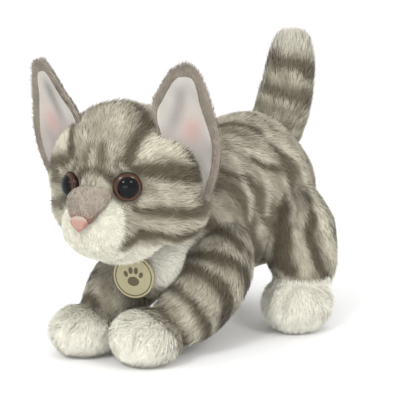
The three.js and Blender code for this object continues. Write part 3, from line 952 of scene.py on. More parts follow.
def away_from(point, fall=0.0):
    def flow(roots, out):
        return unit(roots - np.array(point, float)) + np.array([0, 0, -fall])

    return flow


def torso_flow(roots, out):
    side = np.stack([np.sign(roots[:, 0]), np.zeros(len(roots)), np.full(len(roots), -1.0)], 1)
    share = smooth(np.abs(roots[:, 0]), 4, 30)[:, None]
    return np.array([0, 1.0, -0.1]) + side * np.array([0.15, 0, 0.7]) * share


def head_flow(roots, out):
    local = cat_to_head(roots)
    away = unit(local - np.array([0, -64, -10]))
    for side in (1, -1):
        eye = local - eye_centre(side)
        far = np.linalg.norm(eye, axis=1)
        away = away + unit(eye) * (1 - smooth(far, 9, 18))[:, None] * 1.6
    return turn_to_cat(away)


# ---- Which pile stays ------------------------------------------------------------------------------------


def outside(*trees, margin=0.6):
    """A test that keeps the roots that aren't inside any of the neighbours."""
    def keep(roots, out):
        good = np.ones(len(roots), bool)
        for tree in trees:
            for i in np.flatnonzero(good):
                place, normal, _, far = tree.find_nearest(roots[i])
                if (Vector(roots[i]) - place).dot(normal) < -margin:
                    good[i] = False
        return good

    return keep


def both(first, second):
    """A test that keeps what two tests both keep."""
    def keep(roots, out):
        good = first(roots, out)
        good[good] = second(roots[good], out[good])
        return good

    return keep


# ---- How pieces are added --------------------------------------------------------------------------------

DENSITY = 1.0
# how dark the cloth under the striped pile is painted, as shade from the pile over it
BACKING_SHADE = 0.62


def blades_for(number):
    return int(number * DENSITY)


def finish_piece(piece, replaced):
    if replaced:
        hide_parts(*replaced)
    return piece


def riding(piece, body, slot, *replaced):
    """A piece that moves with one body, and stands for the CAD nodes named."""
    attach(piece, body)
    return finish_piece(piece, replaced)


def bending(piece, body, span, slot, *replaced):
    """A piece baked into the frame where it stands, which stands for the CAD nodes named. It doesn't bend:
    body, span and slot are not used.
    """
    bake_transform(piece)
    return finish_piece(piece, replaced)


def backing_shade(colours):
    """Painted shade: the cloth under the striped pile is darkened as if shadowed by the pile, and under the
    white pile much less.
    """
    return (BACKING_SHADE + (0.93 - BACKING_SHADE) * smooth(colours.mean(1), 0.55, 0.75))[:, None]


def cloth(name, skin, coat):
    """A stuffed skin's own cloth, which the pile grows from."""
    colours = coat(skin.points)
    # the cloth's colour carries painted shade from the pile over it
    piece = make_object(name, skin.points, skin.faces, BACKING, colours * backing_shade(colours))
    return piece


# ==== pieces
# ---- Torso -----------------------------------------------------------------------------------------------

torso_skin = remeshed([limb(TORSO, grow=-PILE_DEPTH), ellipsoid(*CHEST, -PILE_DEPTH)], relax=10)
head_balls = [*HEAD_BALLS, MUZZLE, SNOUT, CHEEK, (mirrored(CHEEK[0], -1), CHEEK[1])]
head_local = remeshed([ellipsoid(centre, radii, -PILE_DEPTH) for centre, radii in head_balls], relax=9)


def pressed_round_eyes(points):
    """The cloth is drawn in round each eye's shank, so that the eye sits in a shallow socket."""
    pressed = points.copy()
    for side in (1, -1):
        facing = unit(mirrored(EYE_FACING, side))
        away = pressed - eye_centre(side)
        aside = np.linalg.norm(away - dot(away, facing)[:, None] * facing, axis=1)
        depth = 2.6 * (1 - smooth(aside, 5, 15)) * (np.abs(dot(away, facing)) < 14)
        pressed -= facing * depth[:, None]
    return pressed


head_local.points = pressed_round_eyes(head_local.points)
head_skin = Skin(head_to_cat(head_local.points), head_local.faces)
tail_skin = remeshed([limb(TAIL, grow=-PILE_DEPTH)])


def creased_toes(points, centre, radii):
    """Two shallow creases over the front of a foot, as if its toes were stitched."""
    local = (points - np.array(centre, float)) / np.array(radii, float)
    front = smooth(-local[:, 1], 0.25, 0.75) * smooth(local[:, 2], -0.5, 0.1)
    depth = sum(np.exp(-(((local[:, 0] - place) / 0.11) ** 2)) for place in (-0.3, 0.3))
    inward = unit(-local)
    return points + inward * (TOE_CREASE * front * depth)[:, None]


def leg_skin(shape, foot, side):
    centre, radii = foot
    parts = [limb(shape, side, -PILE_DEPTH, end=[centre]), ellipsoid(centre, radii, -PILE_DEPTH)]
    skin = remeshed(parts)
    skin.points = on_floor(creased_toes(skin.points, centre, radii))
    return skin


def foreleg_shape(side_name):
    return {**FORELEG, "spine": FORELEG_SPINES[side_name]}


def hind_foot(side):
    return mirrored(HIND_FOOT[0], side), HIND_FOOT[1]


legs = {}
for side_name, side in SIDES:
    legs["foreleg_" + side_name] = leg_skin(foreleg_shape(side_name), FRONT_PAWS[side_name], side)
    legs["hind_leg_" + side_name] = leg_skin(HIND_LEG, hind_foot(side), side)

skins = {**legs, "torso": torso_skin, "head": head_skin, "tail": tail_skin}
trees = {name: skin.tree() for name, skin in skins.items()}

torso_cloth = cloth("torso_cloth", torso_skin, torso_coat)
riding(torso_cloth, "torso", "tabby_plush", "torso_skin", "torso_stuffing", "chest_panel")


def turned_head(degrees):
    """A tree of the head's skin as it stands when the neck is turned."""
    points = (head_skin.points - HEAD_CENTRE) @ turn_about_z(degrees).T + HEAD_CENTRE
    return Skin(points, head_skin.faces).tree()


head_places = [trees["head"], turned_head(HEAD_SWING), turned_head(-HEAD_SWING)]


TORSO_PILE = 5.2
HEAD_REACH = 4.5  # nearer than this to the head, the torso's pile is shorter


def torso_pile_length(roots):
    """Short where the head brushes over the torso when it turns."""
    far = np.array([min(tree.find_nearest(Vector(root))[3] for tree in head_places) for root in roots])
    return TORSO_PILE * np.clip(far / HEAD_REACH, 0.22, 1.0)


torso_outside = outside(*[trees[name] for name in legs], trees["tail"], *head_places, margin=0.1)
TORSO_BANDS = (  # (name, from y, up to y, seed)
    ("torso_pile_front", -200, -8, 61),
    ("torso_pile_middle", -8, 45, 62),
    ("torso_pile_rear", 45, 200, 63),
)
for name, low, high, seed in TORSO_BANDS:
    part = kept_faces(torso_skin, lambda p, low=low, high=high: (p[:, 1] >= low) & (p[:, 1] < high))
    pile = grow_pile(
        name, part, blades_for(29000), torso_coat, torso_flow, PILE, seed=seed,
        length=torso_pile_length, width=0.38, keep=torso_outside,
    )
    riding(pile, "torso", "tabby_plush")

# ---- Head ------------------------------------------------------------------------------------------------

head_cloth = cloth("head_cloth", head_skin, head_coat)
riding(head_cloth, "head", "tabby_plush", "head_skin", "head_stuffing", "muzzle_skin")

bridge_parts = [limb(BRIDGE), limb(BRIDGE_EDGE), limb(BRIDGE_EDGE, side=-1)]
bridge_local = remeshed(bridge_parts, voxel=1.2, relax=4)
bridge_skin = Skin(head_to_cat(bridge_local.points), bridge_local.faces)
trees["bridge"] = bridge_skin.tree()


def off_the_eyes(roots, out):
    """Keeps the roots that no eye covers."""
    local = cat_to_head(roots)
    good = np.ones(len(roots), bool)
    for side in (1, -1):
        good &= np.linalg.norm(local - eye_centre(side), axis=1) > EYE_RADIUS + 0.9
    return good


def head_pile_length(roots):
    """Short on the muzzle and forehead, and longer on the cheeks and the back of the head."""
    local = cat_to_head(roots)
    long = mix(4.4, 6.6, smooth(local[:, 1], -48, -10))
    long = mix(long, 2.1, muzzle_share(local))
    for side in (1, -1):
        far = np.linalg.norm(local - eye_centre(side), axis=1)
        long = long * mix(0.45, 1.0, smooth(far, EYE_RADIUS, EYE_RADIUS + 9))
    return long


def head_root_shade(roots):
    """The white muzzle's short pile gets much less painted shade at the root."""
    return mix(ROOT_SHADE, 0.9, muzzle_share(cat_to_head(roots)))


FACE_FRONT = -22
head_keep = both(off_the_eyes, outside(trees["torso"], trees["bridge"], margin=0.2))


def in_front(points):
    """Which points are on the face."""
    return cat_to_head(points)[:, 1] < FACE_FRONT


for name, test, count, seed in (
    ("head_pile_face", in_front, 28000, 71),
    ("head_pile_back", lambda points: ~in_front(points), 27000, 72),
):
    pile = grow_pile(
        name, kept_faces(head_skin, test), blades_for(count), head_coat, head_flow, PILE, seed=seed,
        length=head_pile_length, width=0.34, keep=head_keep, root_shade=head_root_shade,
    )
    riding(pile, "head", "tabby_plush")


def bridge_coat(points):
    local = cat_to_head(points)
    pink = smooth(-local[:, 2], 12, 19)
    colours = mix(TAUPE, TAUPE * 0.82, np.clip(0.4 + 0.6 * MOTTLE(points * 2), 0, 1))
    return mix(colours, NOSE_PINK, pink * 0.85)


def bridge_flow(roots, out):
    return turn_to_cat(np.tile([0, 0.55, 1.0], (len(roots), 1)))


riding(cloth("nose_bridge_cloth", bridge_skin, bridge_coat), "head", "short_pile", "nose_bridge_panel")
pile = grow_pile(
    "nose_bridge_pile", bridge_skin, blades_for(5200), bridge_coat, bridge_flow, PILE, seed=73,
    length=1.7, width=0.3, lift=42, tuft=1.6, keep=outside(trees["head"], margin=0.2), root_shade=0.82,
)
riding(pile, "head", "short_pile")

# ---- Nose and mouth --------------------------------------------------------------------------------------


def nose_shape():
    """A small triangular pad, wide above and pointed below, in the head's own space."""
    ball, faces = ball_grid(40, 28)
    ball = np.stack([ball[:, 0], ball[:, 2], ball[:, 1]], 1)
    wide = (0.5 + 0.5 * ball[:, 2]) ** 0.55
    x = ball[:, 0] * (0.25 + 0.85 * wide) * NOSE_RADII[0]
    y = ball[:, 1] * NOSE_RADII[1]
    z = ball[:, 2] * NOSE_RADII[2]
    faces = [tuple(reversed(face)) for face in faces]
    return np.stack([x, y, z], 1) + np.array(NOSE_CENTRE), faces


def nose_coat(points):
    local = cat_to_head(points) - np.array(NOSE_CENTRE)
    height = local[:, 2] / NOSE_RADII[2]
    side = np.abs(local[:, 0]) / (NOSE_RADII[0] * (0.25 + 0.85 * np.sqrt(np.clip(0.5 + 0.5 * height, 0, 1))))
    edge = np.maximum(smooth(side, 0.55, 0.85), smooth(-height, 0.45, 0.9)) * smooth(-height, -0.6, 0.1)
    colours = mix(NOSE_PINK, NOSE_RED, edge)
    return mix(colours, TAUPE, smooth(height, 0.3, 0.95) * (1 - edge) * 0.8)


def embroidery_material():
    nodes = Nodes("nose_stitches", 0.6, Sheen_Weight=0.3, Specular_IOR_Level=0.3)
    nodes.colour(coat_colour(nodes, 900, 0.86))
    nodes.roughness(nodes.grey_ramp(nodes.noise(700), 0.5, 0.75))
    nodes.bump(nodes.noise(1500, 2), 0.0002)
    return nodes.material


STITCHES = embroidery_material()
nose_points, nose_faces = nose_shape()
nose_points = head_to_cat(nose_points)
nose = make_object("nose_pad", nose_points, nose_faces, STITCHES, nose_coat(nose_points))
riding(nose, "head", "pink_thread", "nose")


def tube(path, radius, around=10, closed=False):
    """A round cord along a path of points, with pointed ends unless it is closed."""
    path = np.asarray(path, float)
    count = len(path)
    if closed:
        tangent = unit(np.roll(path, -1, 0) - np.roll(path, 1, 0))
    else:
        tangent = unit(np.gradient(path, axis=0))
    guide = np.array([0.3, 0.2, 1.0]) if abs(tangent[0][2]) < 0.9 else np.array([1.0, 0.2, 0])
    first = unit(np.cross(tangent, guide))
    second = np.cross(tangent, first)
    turn = turns(around)
    radii = np.broadcast_to(radius, (count,))
    rings = path[:, None, :] + radii[:, None, None] * (
        first[:, None, :] * np.cos(turn)[None, :, None] + second[:, None, :] * np.sin(turn)[None, :, None]
    )
    faces = []
    for i in range(count if closed else count - 1):
        for j in range(around):
            a, b = i * around + j, i * around + (j + 1) % around
            c, d = (i + 1) % count * around + j, (i + 1) % count * around + (j + 1) % around
            faces.append((a, c, d, b))
    if not closed:
        faces.append(tuple(range(around)))
        faces.append(tuple(reversed(range((count - 1) * around, count * around))))
    return rings.reshape(-1, 3), faces


mouth_line = Spine(MOUTH, steps=12)
mouth_points, mouth_faces = tube(head_to_cat(mouth_line.at(np.linspace(0, 0.35, 10))), 0.42)
mouth_tint = np.tile(mix(NOSE_PINK, WHITE, 0.35), (len(mouth_points), 1))
mouth = make_object("mouth_line", mouth_points, mouth_faces, STITCHES, mouth_tint)
riding(mouth, "head", "pink_thread", "mouth_stitch")

# ---- Eyes ------------------------------------------------------------------------------------------------


def lathe(profile, centre, facing, around=48):
    """A closed solid of (radius, height) points turned round an axis. The first and last are on the axis."""
    facing = unit(np.array(facing, float))
    first = unit(np.cross([0, 0, 1.0], facing))
    second = np.cross(facing, first)
    turn = turns(around)
    points = [centre + facing * profile[0][1]]
    for radius, height in profile[1:-1]:
        ring = first * np.cos(turn)[:, None] * radius + second * np.sin(turn)[:, None] * radius
        points += list(centre + ring + facing * height)
    points.append(centre + facing * profile[-1][1])
    return np.array(points), capped_faces(len(profile) - 2, around)


def dome(radius, base, edge, top, steps=12):
    """A profile: flat behind, with an edge of its own height and then a dome up to its top."""
    profile = [(0, base), (radius * 0.96, base), (radius, base + 0.3)]
    for i in range(steps + 1):
        angle = i / steps * math.pi / 2
        profile.append((radius * math.cos(angle) if i < steps else 0, edge + (top - edge) * math.sin(angle)))
    return profile


def glass_material(name, colour, roughness, uneven=0.85):
    nodes = Nodes(name, roughness, Specular_IOR_Level=0.18, IOR=1.45)
    nodes.colour(nodes.multiply(colour, nodes.grey_ramp(nodes.noise(350), uneven, 1.0)))
    nodes.roughness(nodes.grey_ramp(nodes.noise(200), roughness * 0.8, roughness * 1.2))
    return nodes.material


def iris_material():
    nodes = Nodes("eye_brown", 0.16, Specular_IOR_Level=0.25)
    nodes.colour(coat_colour(nodes, 600, 0.85))
    nodes.roughness(nodes.grey_ramp(nodes.noise(200), 0.12, 0.2))
    return nodes.material


IRIS_LIGHT = linear(74, 48, 32)
IRIS_DARK = linear(30, 20, 15)


def iris_colours(points, centre):
    """Brown, and darker at the rim and under the pupil's edge."""
    far = np.linalg.norm(points - centre, axis=1)
    rim = smooth(far, EYE_RADIUS * 0.9, EYE_RADIUS * 1.02)
    inner = 1 - smooth(far, EYE_RADIUS * 0.76, EYE_RADIUS * 0.84)
    return mix(IRIS_LIGHT, IRIS_DARK, np.clip(rim + inner * 0.6, 0, 1) * 0.85)


BROWN_EYE = iris_material()
BLACK_EYE = glass_material("eye_black", (0.004, 0.0045, 0.006, 1), 0.04)
for side_name, side in SIDES:
    centre = head_to_cat(eye_centre(side)[None])[0]
    facing = turn_to_cat(mirrored(EYE_FACING, side)[None])[0]
    points, faces = lathe(dome(EYE_RADIUS, -1.5, 0.9, 4.6), centre, facing)
    iris = make_object(f"eye_{side_name}_iris", points, faces, BROWN_EYE, iris_colours(points, centre))
    riding(iris, "head", "eye_brown", "eye_" + side_name)
    points, faces = lathe(dome(6.9, 1.6, 2.9, 6.6), centre, facing)
    pupil = make_object(f"eye_{side_name}_pupil", points, faces, BLACK_EYE)
    riding(pupil, "head", "eye_black", "pupil_" + side_name)

# ---- Ears ------------------------------------------------------------------------------------------------

EAR_OUTER = [
    (20, -16), (22, -5), (24.5, 10), (25, 22), (23.5, 33), (19.5, 45),
    (15.5, 56), (11.5, 66), (8, 72.5), (4, 76.2), (-0.7, 77),
]
EAR_INNER = {  # the right ear's inner edge flares on to the top of the head
    1: [
        (-14, -16), (-14.5, 20), (-17, 36), (-20, 46), (-20, 53),
        (-17, 60), (-13, 68), (-9.5, 73.5), (-5.5, 76.4), (-0.7, 77),
    ],
    -1: [
        (-22, -16), (-28, 24), (-30, 38), (-26, 47), (-21, 53),
        (-17, 60), (-12.5, 68), (-9, 73.5), (-5, 76.4), (-0.7, 77),
    ],
}
EAR_BOTTOM, EAR_TOP = -16, 77
EAR_RIM_OUTER = 5.2
EAR_RIM_INNER = 3.2
EAR_RIM_TOP = 7
EAR_THICKNESS = 2.0


def ear_axes(side):
    """The ear in the head's space: its base, and the directions across it, up it and out of its front."""
    base, tip = mirrored(EAR_BASE, side), mirrored(EAR_TIP, side)
    up = unit(tip - base)
    across = mirrored(EAR_ACROSS, side)
    across = unit(across - up * (across @ up))
    front = np.cross(across, up) * -side
    if front[1] > 0:
        front = -front
    return base, across, up, front


def ear_edges(side, heights, inset=False):
    """How far across the ear's outer and inner edges are at heights, or its lining's edges."""
    edges = []
    for outline, rim in ((EAR_OUTER, EAR_RIM_OUTER), (EAR_INNER[side], -EAR_RIM_INNER)):
        line = Spine([(a, b, 0) for a, b in outline]).line
        line[:, 1] = np.maximum.accumulate(line[:, 1])
        if inset:
            squeeze = (EAR_TOP - EAR_RIM_TOP - EAR_BOTTOM) / (EAR_TOP - EAR_BOTTOM)
            lower = EAR_BOTTOM + (line[:, 1] - EAR_BOTTOM) * squeeze
            fade = np.clip((EAR_TOP - line[:, 1]) / 18, 0, 1) ** 0.5
            edges.append(np.interp(heights, lower, line[:, 0] - rim * fade))
        else:
            edges.append(np.interp(heights, line[:, 1], line[:, 0]))
    return edges


def ear_cup(across_share, height):
    """How far forward of its middle a point of the ear lies: deep at the base, and nearly flat at the tip."""
    return across_share**2 * mix(10.0, 3.0, smooth(height, 0, 75))


def ear_plate(side, inset, thickness, forward, rows=52, around=56):
    """A cupped leaf within the ear's outline, or within its lining's: closed, and thin."""
    base, across, up, front = ear_axes(side)
    top = EAR_TOP - (EAR_RIM_TOP if inset else 0)
    heights = EAR_BOTTOM + (top - EAR_BOTTOM) * np.sin(np.linspace(0.02, 0.995, rows) * np.pi / 2)
    outer, inner = ear_edges(side, heights, inset)
    whole_outer, whole_inner = ear_edges(side, heights)
    turn = turns(around)
    rings = []
    for k, height in enumerate(heights):
        half, middle = max((outer[k] - inner[k]) / 2, 0.3), (outer[k] + inner[k]) / 2
        x = middle + np.sign(np.cos(turn)) * np.abs(np.cos(turn)) ** 0.75 * half
        whole_half = (whole_outer[k] - whole_inner[k]) / 2
        share = (x - (whole_outer[k] + whole_inner[k]) / 2) / max(whole_half, 1)
        lift = np.sin(turn) * thickness * mix(1.0, 0.8, smooth(height, 60, 75))
        f = ear_cup(share, height) + lift + forward
        rings.append(base + across * x[:, None] + up * height + front * f[:, None])
    bottom = rings[0].mean(0)
    tip = rings[-1].mean(0) + up * 0.25
    points = np.vstack([bottom[None], *rings, tip[None]])
    return outward(Skin(head_to_cat(points), capped_faces(rows, around)))


def outward(skin):
    """A skin whose faces point out."""
    a, b, c = (skin.points[skin.triangles[:, k]] for k in range(3))
    if dot(a - skin.points.mean(0), np.cross(b - a, c - a)).sum() < 0:
        return Skin(skin.points, [tuple(reversed(face)) for face in skin.faces])
    return skin


def ear_place(points, side):
    """How far across and up the ear each point is."""
    base, across, up, _ = ear_axes(side)
    local = cat_to_head(points) - base
    return local @ across, local @ up


def lining_colours(points, side):
    """Off-white, with painted shade in the fold down its middle and low in the cup, uneven cloudy tone, and
    pink low in the cup.
    """
    a, b = ear_place(points, side)
    # painted shade: grey down the fold, and darker low in the cup where the ear is deepest
    fold = np.exp(-(((a + 4 - (b - 50) * 0.12) / 4.5) ** 2)) * smooth(b, 26, 44) * (1 - smooth(b, 58, 70))
    pink = np.exp(-(((a - 5) / 7) ** 2) - ((b - 35) / 10) ** 2)
    deep = (1 - smooth(b, 20, 44)) * 0.35
    cloudy = 0.12 + 0.1 * MOTTLE(points)
    colours = mix(LINING, LINING_SHADE, np.clip(fold * 0.7 + deep + cloudy, 0, 1))
    return mix(colours, LINING_PINK, pink * 0.6)


def satin_material():
    nodes = Nodes("ear_satin", 0.5, Sheen_Weight=0.35, Sheen_Roughness=0.3, Specular_IOR_Level=0.4)
    nodes.colour(coat_colour(nodes, 700, 0.95))
    nodes.roughness(nodes.grey_ramp(nodes.noise(500), 0.42, 0.6))
    nodes.bump(nodes.noise(2200, 2), 0.00012)
    return nodes.material


def ear_coat(points):
    return mix(EAR_TAUPE, EAR_TAUPE * 0.84, np.clip(0.4 + 0.5 * MOTTLE(points), 0, 1))


def round_lining(side):
    """A test that keeps the roots that the ear's lining doesn't cover."""
    front = turn_to_cat(ear_axes(side)[3][None])[0]

    def keep(roots, out):
        a, b = ear_place(roots, side)
        outer, inner = ear_edges(side, b, inset=True)
        under = (a < outer - 0.6) & (a > inner + 0.6) & (b < EAR_TOP - EAR_RIM_TOP - 0.6)
        return ~(under & (out @ front > 0.1))

    return keep


SATIN = satin_material()
for side_name, side in SIDES:
    body = "ear_" + side_name
    base, _, up, _ = ear_axes(side)
    ear_keep = both(round_lining(side), outside(trees["head"]))
    shell_skin = ear_plate(side, False, EAR_THICKNESS, 0)
    lining_skin = ear_plate(side, True, 0.7, EAR_THICKNESS + 0.5)
    # the shell's cloth is painted darker, as shade under its pile
    shell = make_object(
        body + "_cloth", shell_skin.points, shell_skin.faces, BACKING, ear_coat(shell_skin.points) * 0.85
    )
    pile = grow_pile(
        body + "_pile", shell_skin, blades_for(15000), ear_coat,
        lambda roots, out, up=up: turn_to_cat(np.tile(up, (len(roots), 1))), PILE, seed=81 + (side > 0),
        length=2.6, width=0.28, lift=45, tuft=1.8, root_shade=0.8, keep=ear_keep,
    )
    colours = lining_colours(lining_skin.points, side)
    lining = make_object(body + "_satin", lining_skin.points, lining_skin.faces, SATIN, colours)
    for piece, slot, replaced in (
        (shell, "short_pile", (body + "_shell",)),
        (pile, "short_pile", ()),
        (lining, "satin", (body + "_lining",)),
    ):
        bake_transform(piece)
        finish_piece(piece, replaced)

# ---- Tail ------------------------------------------------------------------------------------------------

TAIL_SPAN = ((0, 72, 134), (0, 80, 156))
tail_cloth = cloth("tail_cloth", tail_skin, tail_coat)
bending(tail_cloth, "tail", TAIL_SPAN, "tabby_plush", "tail_skin", "tail_stuffing")
pile = grow_pile(
    "tail_pile", tail_skin, blades_for(17000), tail_coat, along_spine(Spine(TAIL["spine"])), PILE, seed=23,
    length=6.2, width=0.38, keep=outside(trees["torso"]),
)
bending(pile, "tail", TAIL_SPAN, "tabby_plush")

# ---- Legs and feet ---------------------------------------------------------------------------------------

WHITE_FACING = unit(np.array([0, -0.9, -0.45]))  # square to the seam where a front paw's white starts
WHITE_BEHIND = {"left": 4, "right": 5}  # how far that seam is behind the paw's middle
HIND_FOOT_TOP = 41.5


def add_leg(leg_name, foot_name, shape, foot, side, coat, seed):
    """A leg's tabby cloth and pile, and its white foot's cloth and pile."""
    skin = legs[leg_name]
    centre = np.array(foot[0], float)
    spine = Spine([mirrored(p, side) for p in shape["spine"]] + [centre])
    ahead = unit(centre - spine.at(0.8))

    def in_foot(points):
        if leg_name.startswith("hind"):
            return points[:, 2] < HIND_FOOT_TOP
        return dot(points - centre, WHITE_FACING) > -WHITE_BEHIND[leg_name.rsplit("_", 1)[1]]

    leg_part = kept_faces(skin, lambda points: ~in_foot(points))
    foot_part = kept_faces(skin, in_foot)
    span = [mirrored(place, side) for place in LEG_SPANS[leg_name.rsplit("_", 1)[0]]]
    leg_cloth = cloth(leg_name + "_cloth", leg_part, coat)
    bending(leg_cloth, leg_name, span, "tabby_plush", leg_name + "_skin", leg_name + "_stuffing")
    # the foot's cloth is painted a little darker, as shade under its pile
    foot_cloth = make_object(
        foot_name + "_cloth", foot_part.points, foot_part.faces, BACKING, white_coat(foot_part.points) * 0.92
    )
    riding(foot_cloth, leg_name, "white_plush", foot_name + "_skin", foot_name + "_pellet_bag")
    pile = grow_pile(
        leg_name + "_pile", leg_part, blades_for(24000), coat, along_spine(spine, 0.3), PILE, seed=seed,
        length=5.2, width=0.38, keep=outside(trees["torso"]),
    )
    bending(pile, leg_name, span, "tabby_plush")
    foot_flow = away_from(centre - 30 * ahead, 0.5)
    pile = grow_pile(
        foot_name + "_pile", foot_part, blades_for(13000), white_coat, foot_flow, PILE, seed=seed + 1,
        length=4.8, width=0.3, lift=56, droop=0.3, tuft=2.4, tuft_pull=0.12, root_shade=0.86,
    )
    riding(pile, leg_name, "white_plush")


for side_name, side in SIDES:
    seed = 30 + side
    add_leg(
        "foreleg_" + side_name, "front_paw_" + side_name, foreleg_shape(side_name), FRONT_PAWS[side_name],
        side, foreleg_coat(side), seed,
    )
    add_leg(
        "hind_leg_" + side_name, "hind_foot_" + side_name, HIND_LEG, hind_foot(side),
        side, hind_leg_coat, seed + 10,
    )

# ---- Pendant ---------------------------------------------------------------------------------------------

PENDANT_CENTRE = np.array([9.6, -76.6, 55.6])
PENDANT_FACING = unit(np.array([0.45, -1, 0]))
PENDANT_RADIUS = 15
PENDANT_HALF = 0.9
PENDANT_LINE_RADIUS = 13.2
LINE_FORWARD = 0.62
PENDANT_HOLE = 1.3
HOLE_INSET = 2.4
RING_RADIUS = 2.3
RING_WIRE = 0.5
LOOP_REACH = 7
LOOP_HALF_WIDTH = 2.2
KHAKI = linear(176, 168, 134)
KHAKI_PRINT = linear(92, 82, 54)
UP = np.array([0.0, 0, 1])
PENDANT_ASIDE = unit(np.cross(UP, PENDANT_FACING))


def pendant_material():
    """Pressed khaki metal, matt and slightly grained."""
    nodes = Nodes("pendant_khaki", 0.42, Specular_IOR_Level=0.45)
    nodes.colour(coat_colour(nodes, 800, 0.88))
    nodes.roughness(nodes.grey_ramp(nodes.noise(900), 0.34, 0.52))
    nodes.bump(nodes.noise(2600, 2), 0.00005)
    return nodes.material


def steel_material():
    nodes = Nodes("ring_steel", 0.3, Metallic=0.9)
    nodes.colour(nodes.ramp(nodes.noise(900), [(0.3, (0.42, 0.4, 0.36)), (0.7, (0.58, 0.56, 0.5))]))
    nodes.roughness(nodes.grey_ramp(nodes.noise(1500), 0.24, 0.4))
    return nodes.material


def thread_material():
    nodes = Nodes("loop_thread", 0.8, Sheen_Weight=0.2)
    nodes.colour(nodes.ramp(nodes.noise(2500), [(0.3, (0.5, 0.47, 0.38)), (0.7, (0.72, 0.69, 0.6))]))
    nodes.roughness(nodes.grey_ramp(nodes.noise(1500), 0.7, 0.9))
    nodes.bump(nodes.noise(4000, 2), 0.0001)
    return nodes.material


def on_pendant(aside, up, forward):
    """A place given by how far it is aside, up and forward of the pendant's middle."""
    return PENDANT_CENTRE + PENDANT_ASIDE * aside + UP * up + PENDANT_FACING * forward


def drilled(piece, place, direction, radius, colour):
    """Cuts a round hole right through a piece."""
    bit_points, bit_faces = tube([place - direction * 4, place + direction * 4], radius, 24)
    bit = make_object("drill", bit_points, bit_faces, piece.data.materials[0])
    cut = piece.modifiers.new("hole", "BOOLEAN")
    cut.operation = "DIFFERENCE"
    cut.object = bit
    cut.solver = "EXACT"
    drilled_mesh = bpy.data.meshes.new_from_object(piece.evaluated_get(bpy.context.evaluated_depsgraph_get()))
    piece.modifiers.clear()
    piece.data = drilled_mesh
    drilled_mesh.attributes.remove(drilled_mesh.attributes["coat"])
    write_colours(drilled_mesh, colour)
    bpy.data.objects.remove(bit)


def disc_profile():
    """Half of the disc's section: a flat back, a rounded rim, and a shallow step in to its face."""
    wide, high, line = PENDANT_RADIUS, PENDANT_HALF, PENDANT_LINE_RADIUS
    rim = [(wide - 0.45, -high), (wide, -high + 0.45), (wide, high - 0.45), (wide - 0.45, high)]
    step_in = [(line + 0.6, high), (line + 0.3, high - 0.25)]
    step_out = [(line - 0.3, high - 0.25), (line - 0.6, high - 0.05)]
    return [(0, -high), *rim, *step_in, *step_out, (0, high - 0.05)]


def pressed_pad(aside, up, wide, tall, lean=0.0):
    """A low dome pressed up out of the disc's face, in the shape of a paw's pad."""
    ball, faces = ball_grid(28, 14)
    c, s = math.cos(lean), math.sin(lean)
    x, z = ball[:, 0] * wide, ball[:, 2] * tall
    points = on_pendant(aside, up, PENDANT_HALF - 0.1) + PENDANT_ASIDE * (x * c - z * s)[:, None]
    points = points + UP * (x * s + z * c)[:, None] - PENDANT_FACING * (ball[:, 1] * 0.4)[:, None]
    return points, faces


KHAKI_METAL = pendant_material()
STEEL = steel_material()
hole_centre = on_pendant(0, PENDANT_RADIUS - HOLE_INSET, 0)
disc_points, disc_faces = lathe(disc_profile(), PENDANT_CENTRE, PENDANT_FACING, 96)
disc_skin = outward(Skin(disc_points, disc_faces))
disc_colours = np.tile(KHAKI, (len(disc_points), 1))
disc = make_object(
    "pendant_plate", disc_points, disc_skin.faces, KHAKI_METAL, disc_colours, shade_smooth=False
)
drilled(disc, hole_centre, PENDANT_FACING, PENDANT_HOLE, KHAKI)
riding(disc, "pendant", "tag", "pendant_disc")

turn = turns(96)
circle = [
    on_pendant(PENDANT_LINE_RADIUS * math.cos(t), PENDANT_LINE_RADIUS * math.sin(t), LINE_FORWARD)
    for t in turn
]
line_points, line_faces = tube(circle, 0.3, 8, closed=True)
print_colours = np.tile(KHAKI_PRINT, (len(line_points), 1))
line = make_object("pendant_ring_line", line_points, line_faces, KHAKI_METAL, print_colours)
riding(line, "pendant", "tag_border", "pendant_border")

PAW_MARK = [  # (aside, up, half width, half height, lean) of a paw's pads
    (0, -3.2, 4.4, 3.3, 0),
    (-5.6, 1.6, 1.5, 2.2, 0.45),
    (-2.0, 4.2, 1.6, 2.4, 0.12),
    (2.0, 4.2, 1.6, 2.4, -0.12),
    (5.6, 1.6, 1.5, 2.2, -0.45),
]
mark_points, mark_faces = joined([pressed_pad(*pad) for pad in PAW_MARK])
mark_tint = np.tile(KHAKI_PRINT, (len(mark_points), 1))
mark = make_object("pendant_paw_mark", mark_points, mark_faces, KHAKI_METAL, mark_tint)
riding(mark, "pendant", "tag_border")

ring_centre = hole_centre + UP * RING_RADIUS
circle = [
    ring_centre + UP * (RING_RADIUS * math.cos(t)) + PENDANT_FACING * (RING_RADIUS * math.sin(t))
    for t in turn
]
ring_points, ring_faces = tube(circle, RING_WIRE, 10, closed=True)
riding(make_object("pendant_split_ring", ring_points, ring_faces, STEEL), "pendant", "steel", "pendant_ring")

hinge = ring_centre + UP * (RING_RADIUS - 2 * RING_WIRE - 0.25)
loop_centre = hinge - PENDANT_FACING * LOOP_REACH
reach, half = PENDANT_FACING * LOOP_REACH, PENDANT_ASIDE * LOOP_HALF_WIDTH
circle = [loop_centre + reach * math.cos(t) + half * math.sin(t) for t in turn]
loop_points, loop_faces = tube(circle, RING_WIRE, 8, closed=True)
thread = make_object("pendant_thread", loop_points, loop_faces, thread_material())
riding(thread, "torso", "cord", "pendant_loop")

# ---- Eye washers: CAD pieces hidden inside the head ------------------------------------------------------


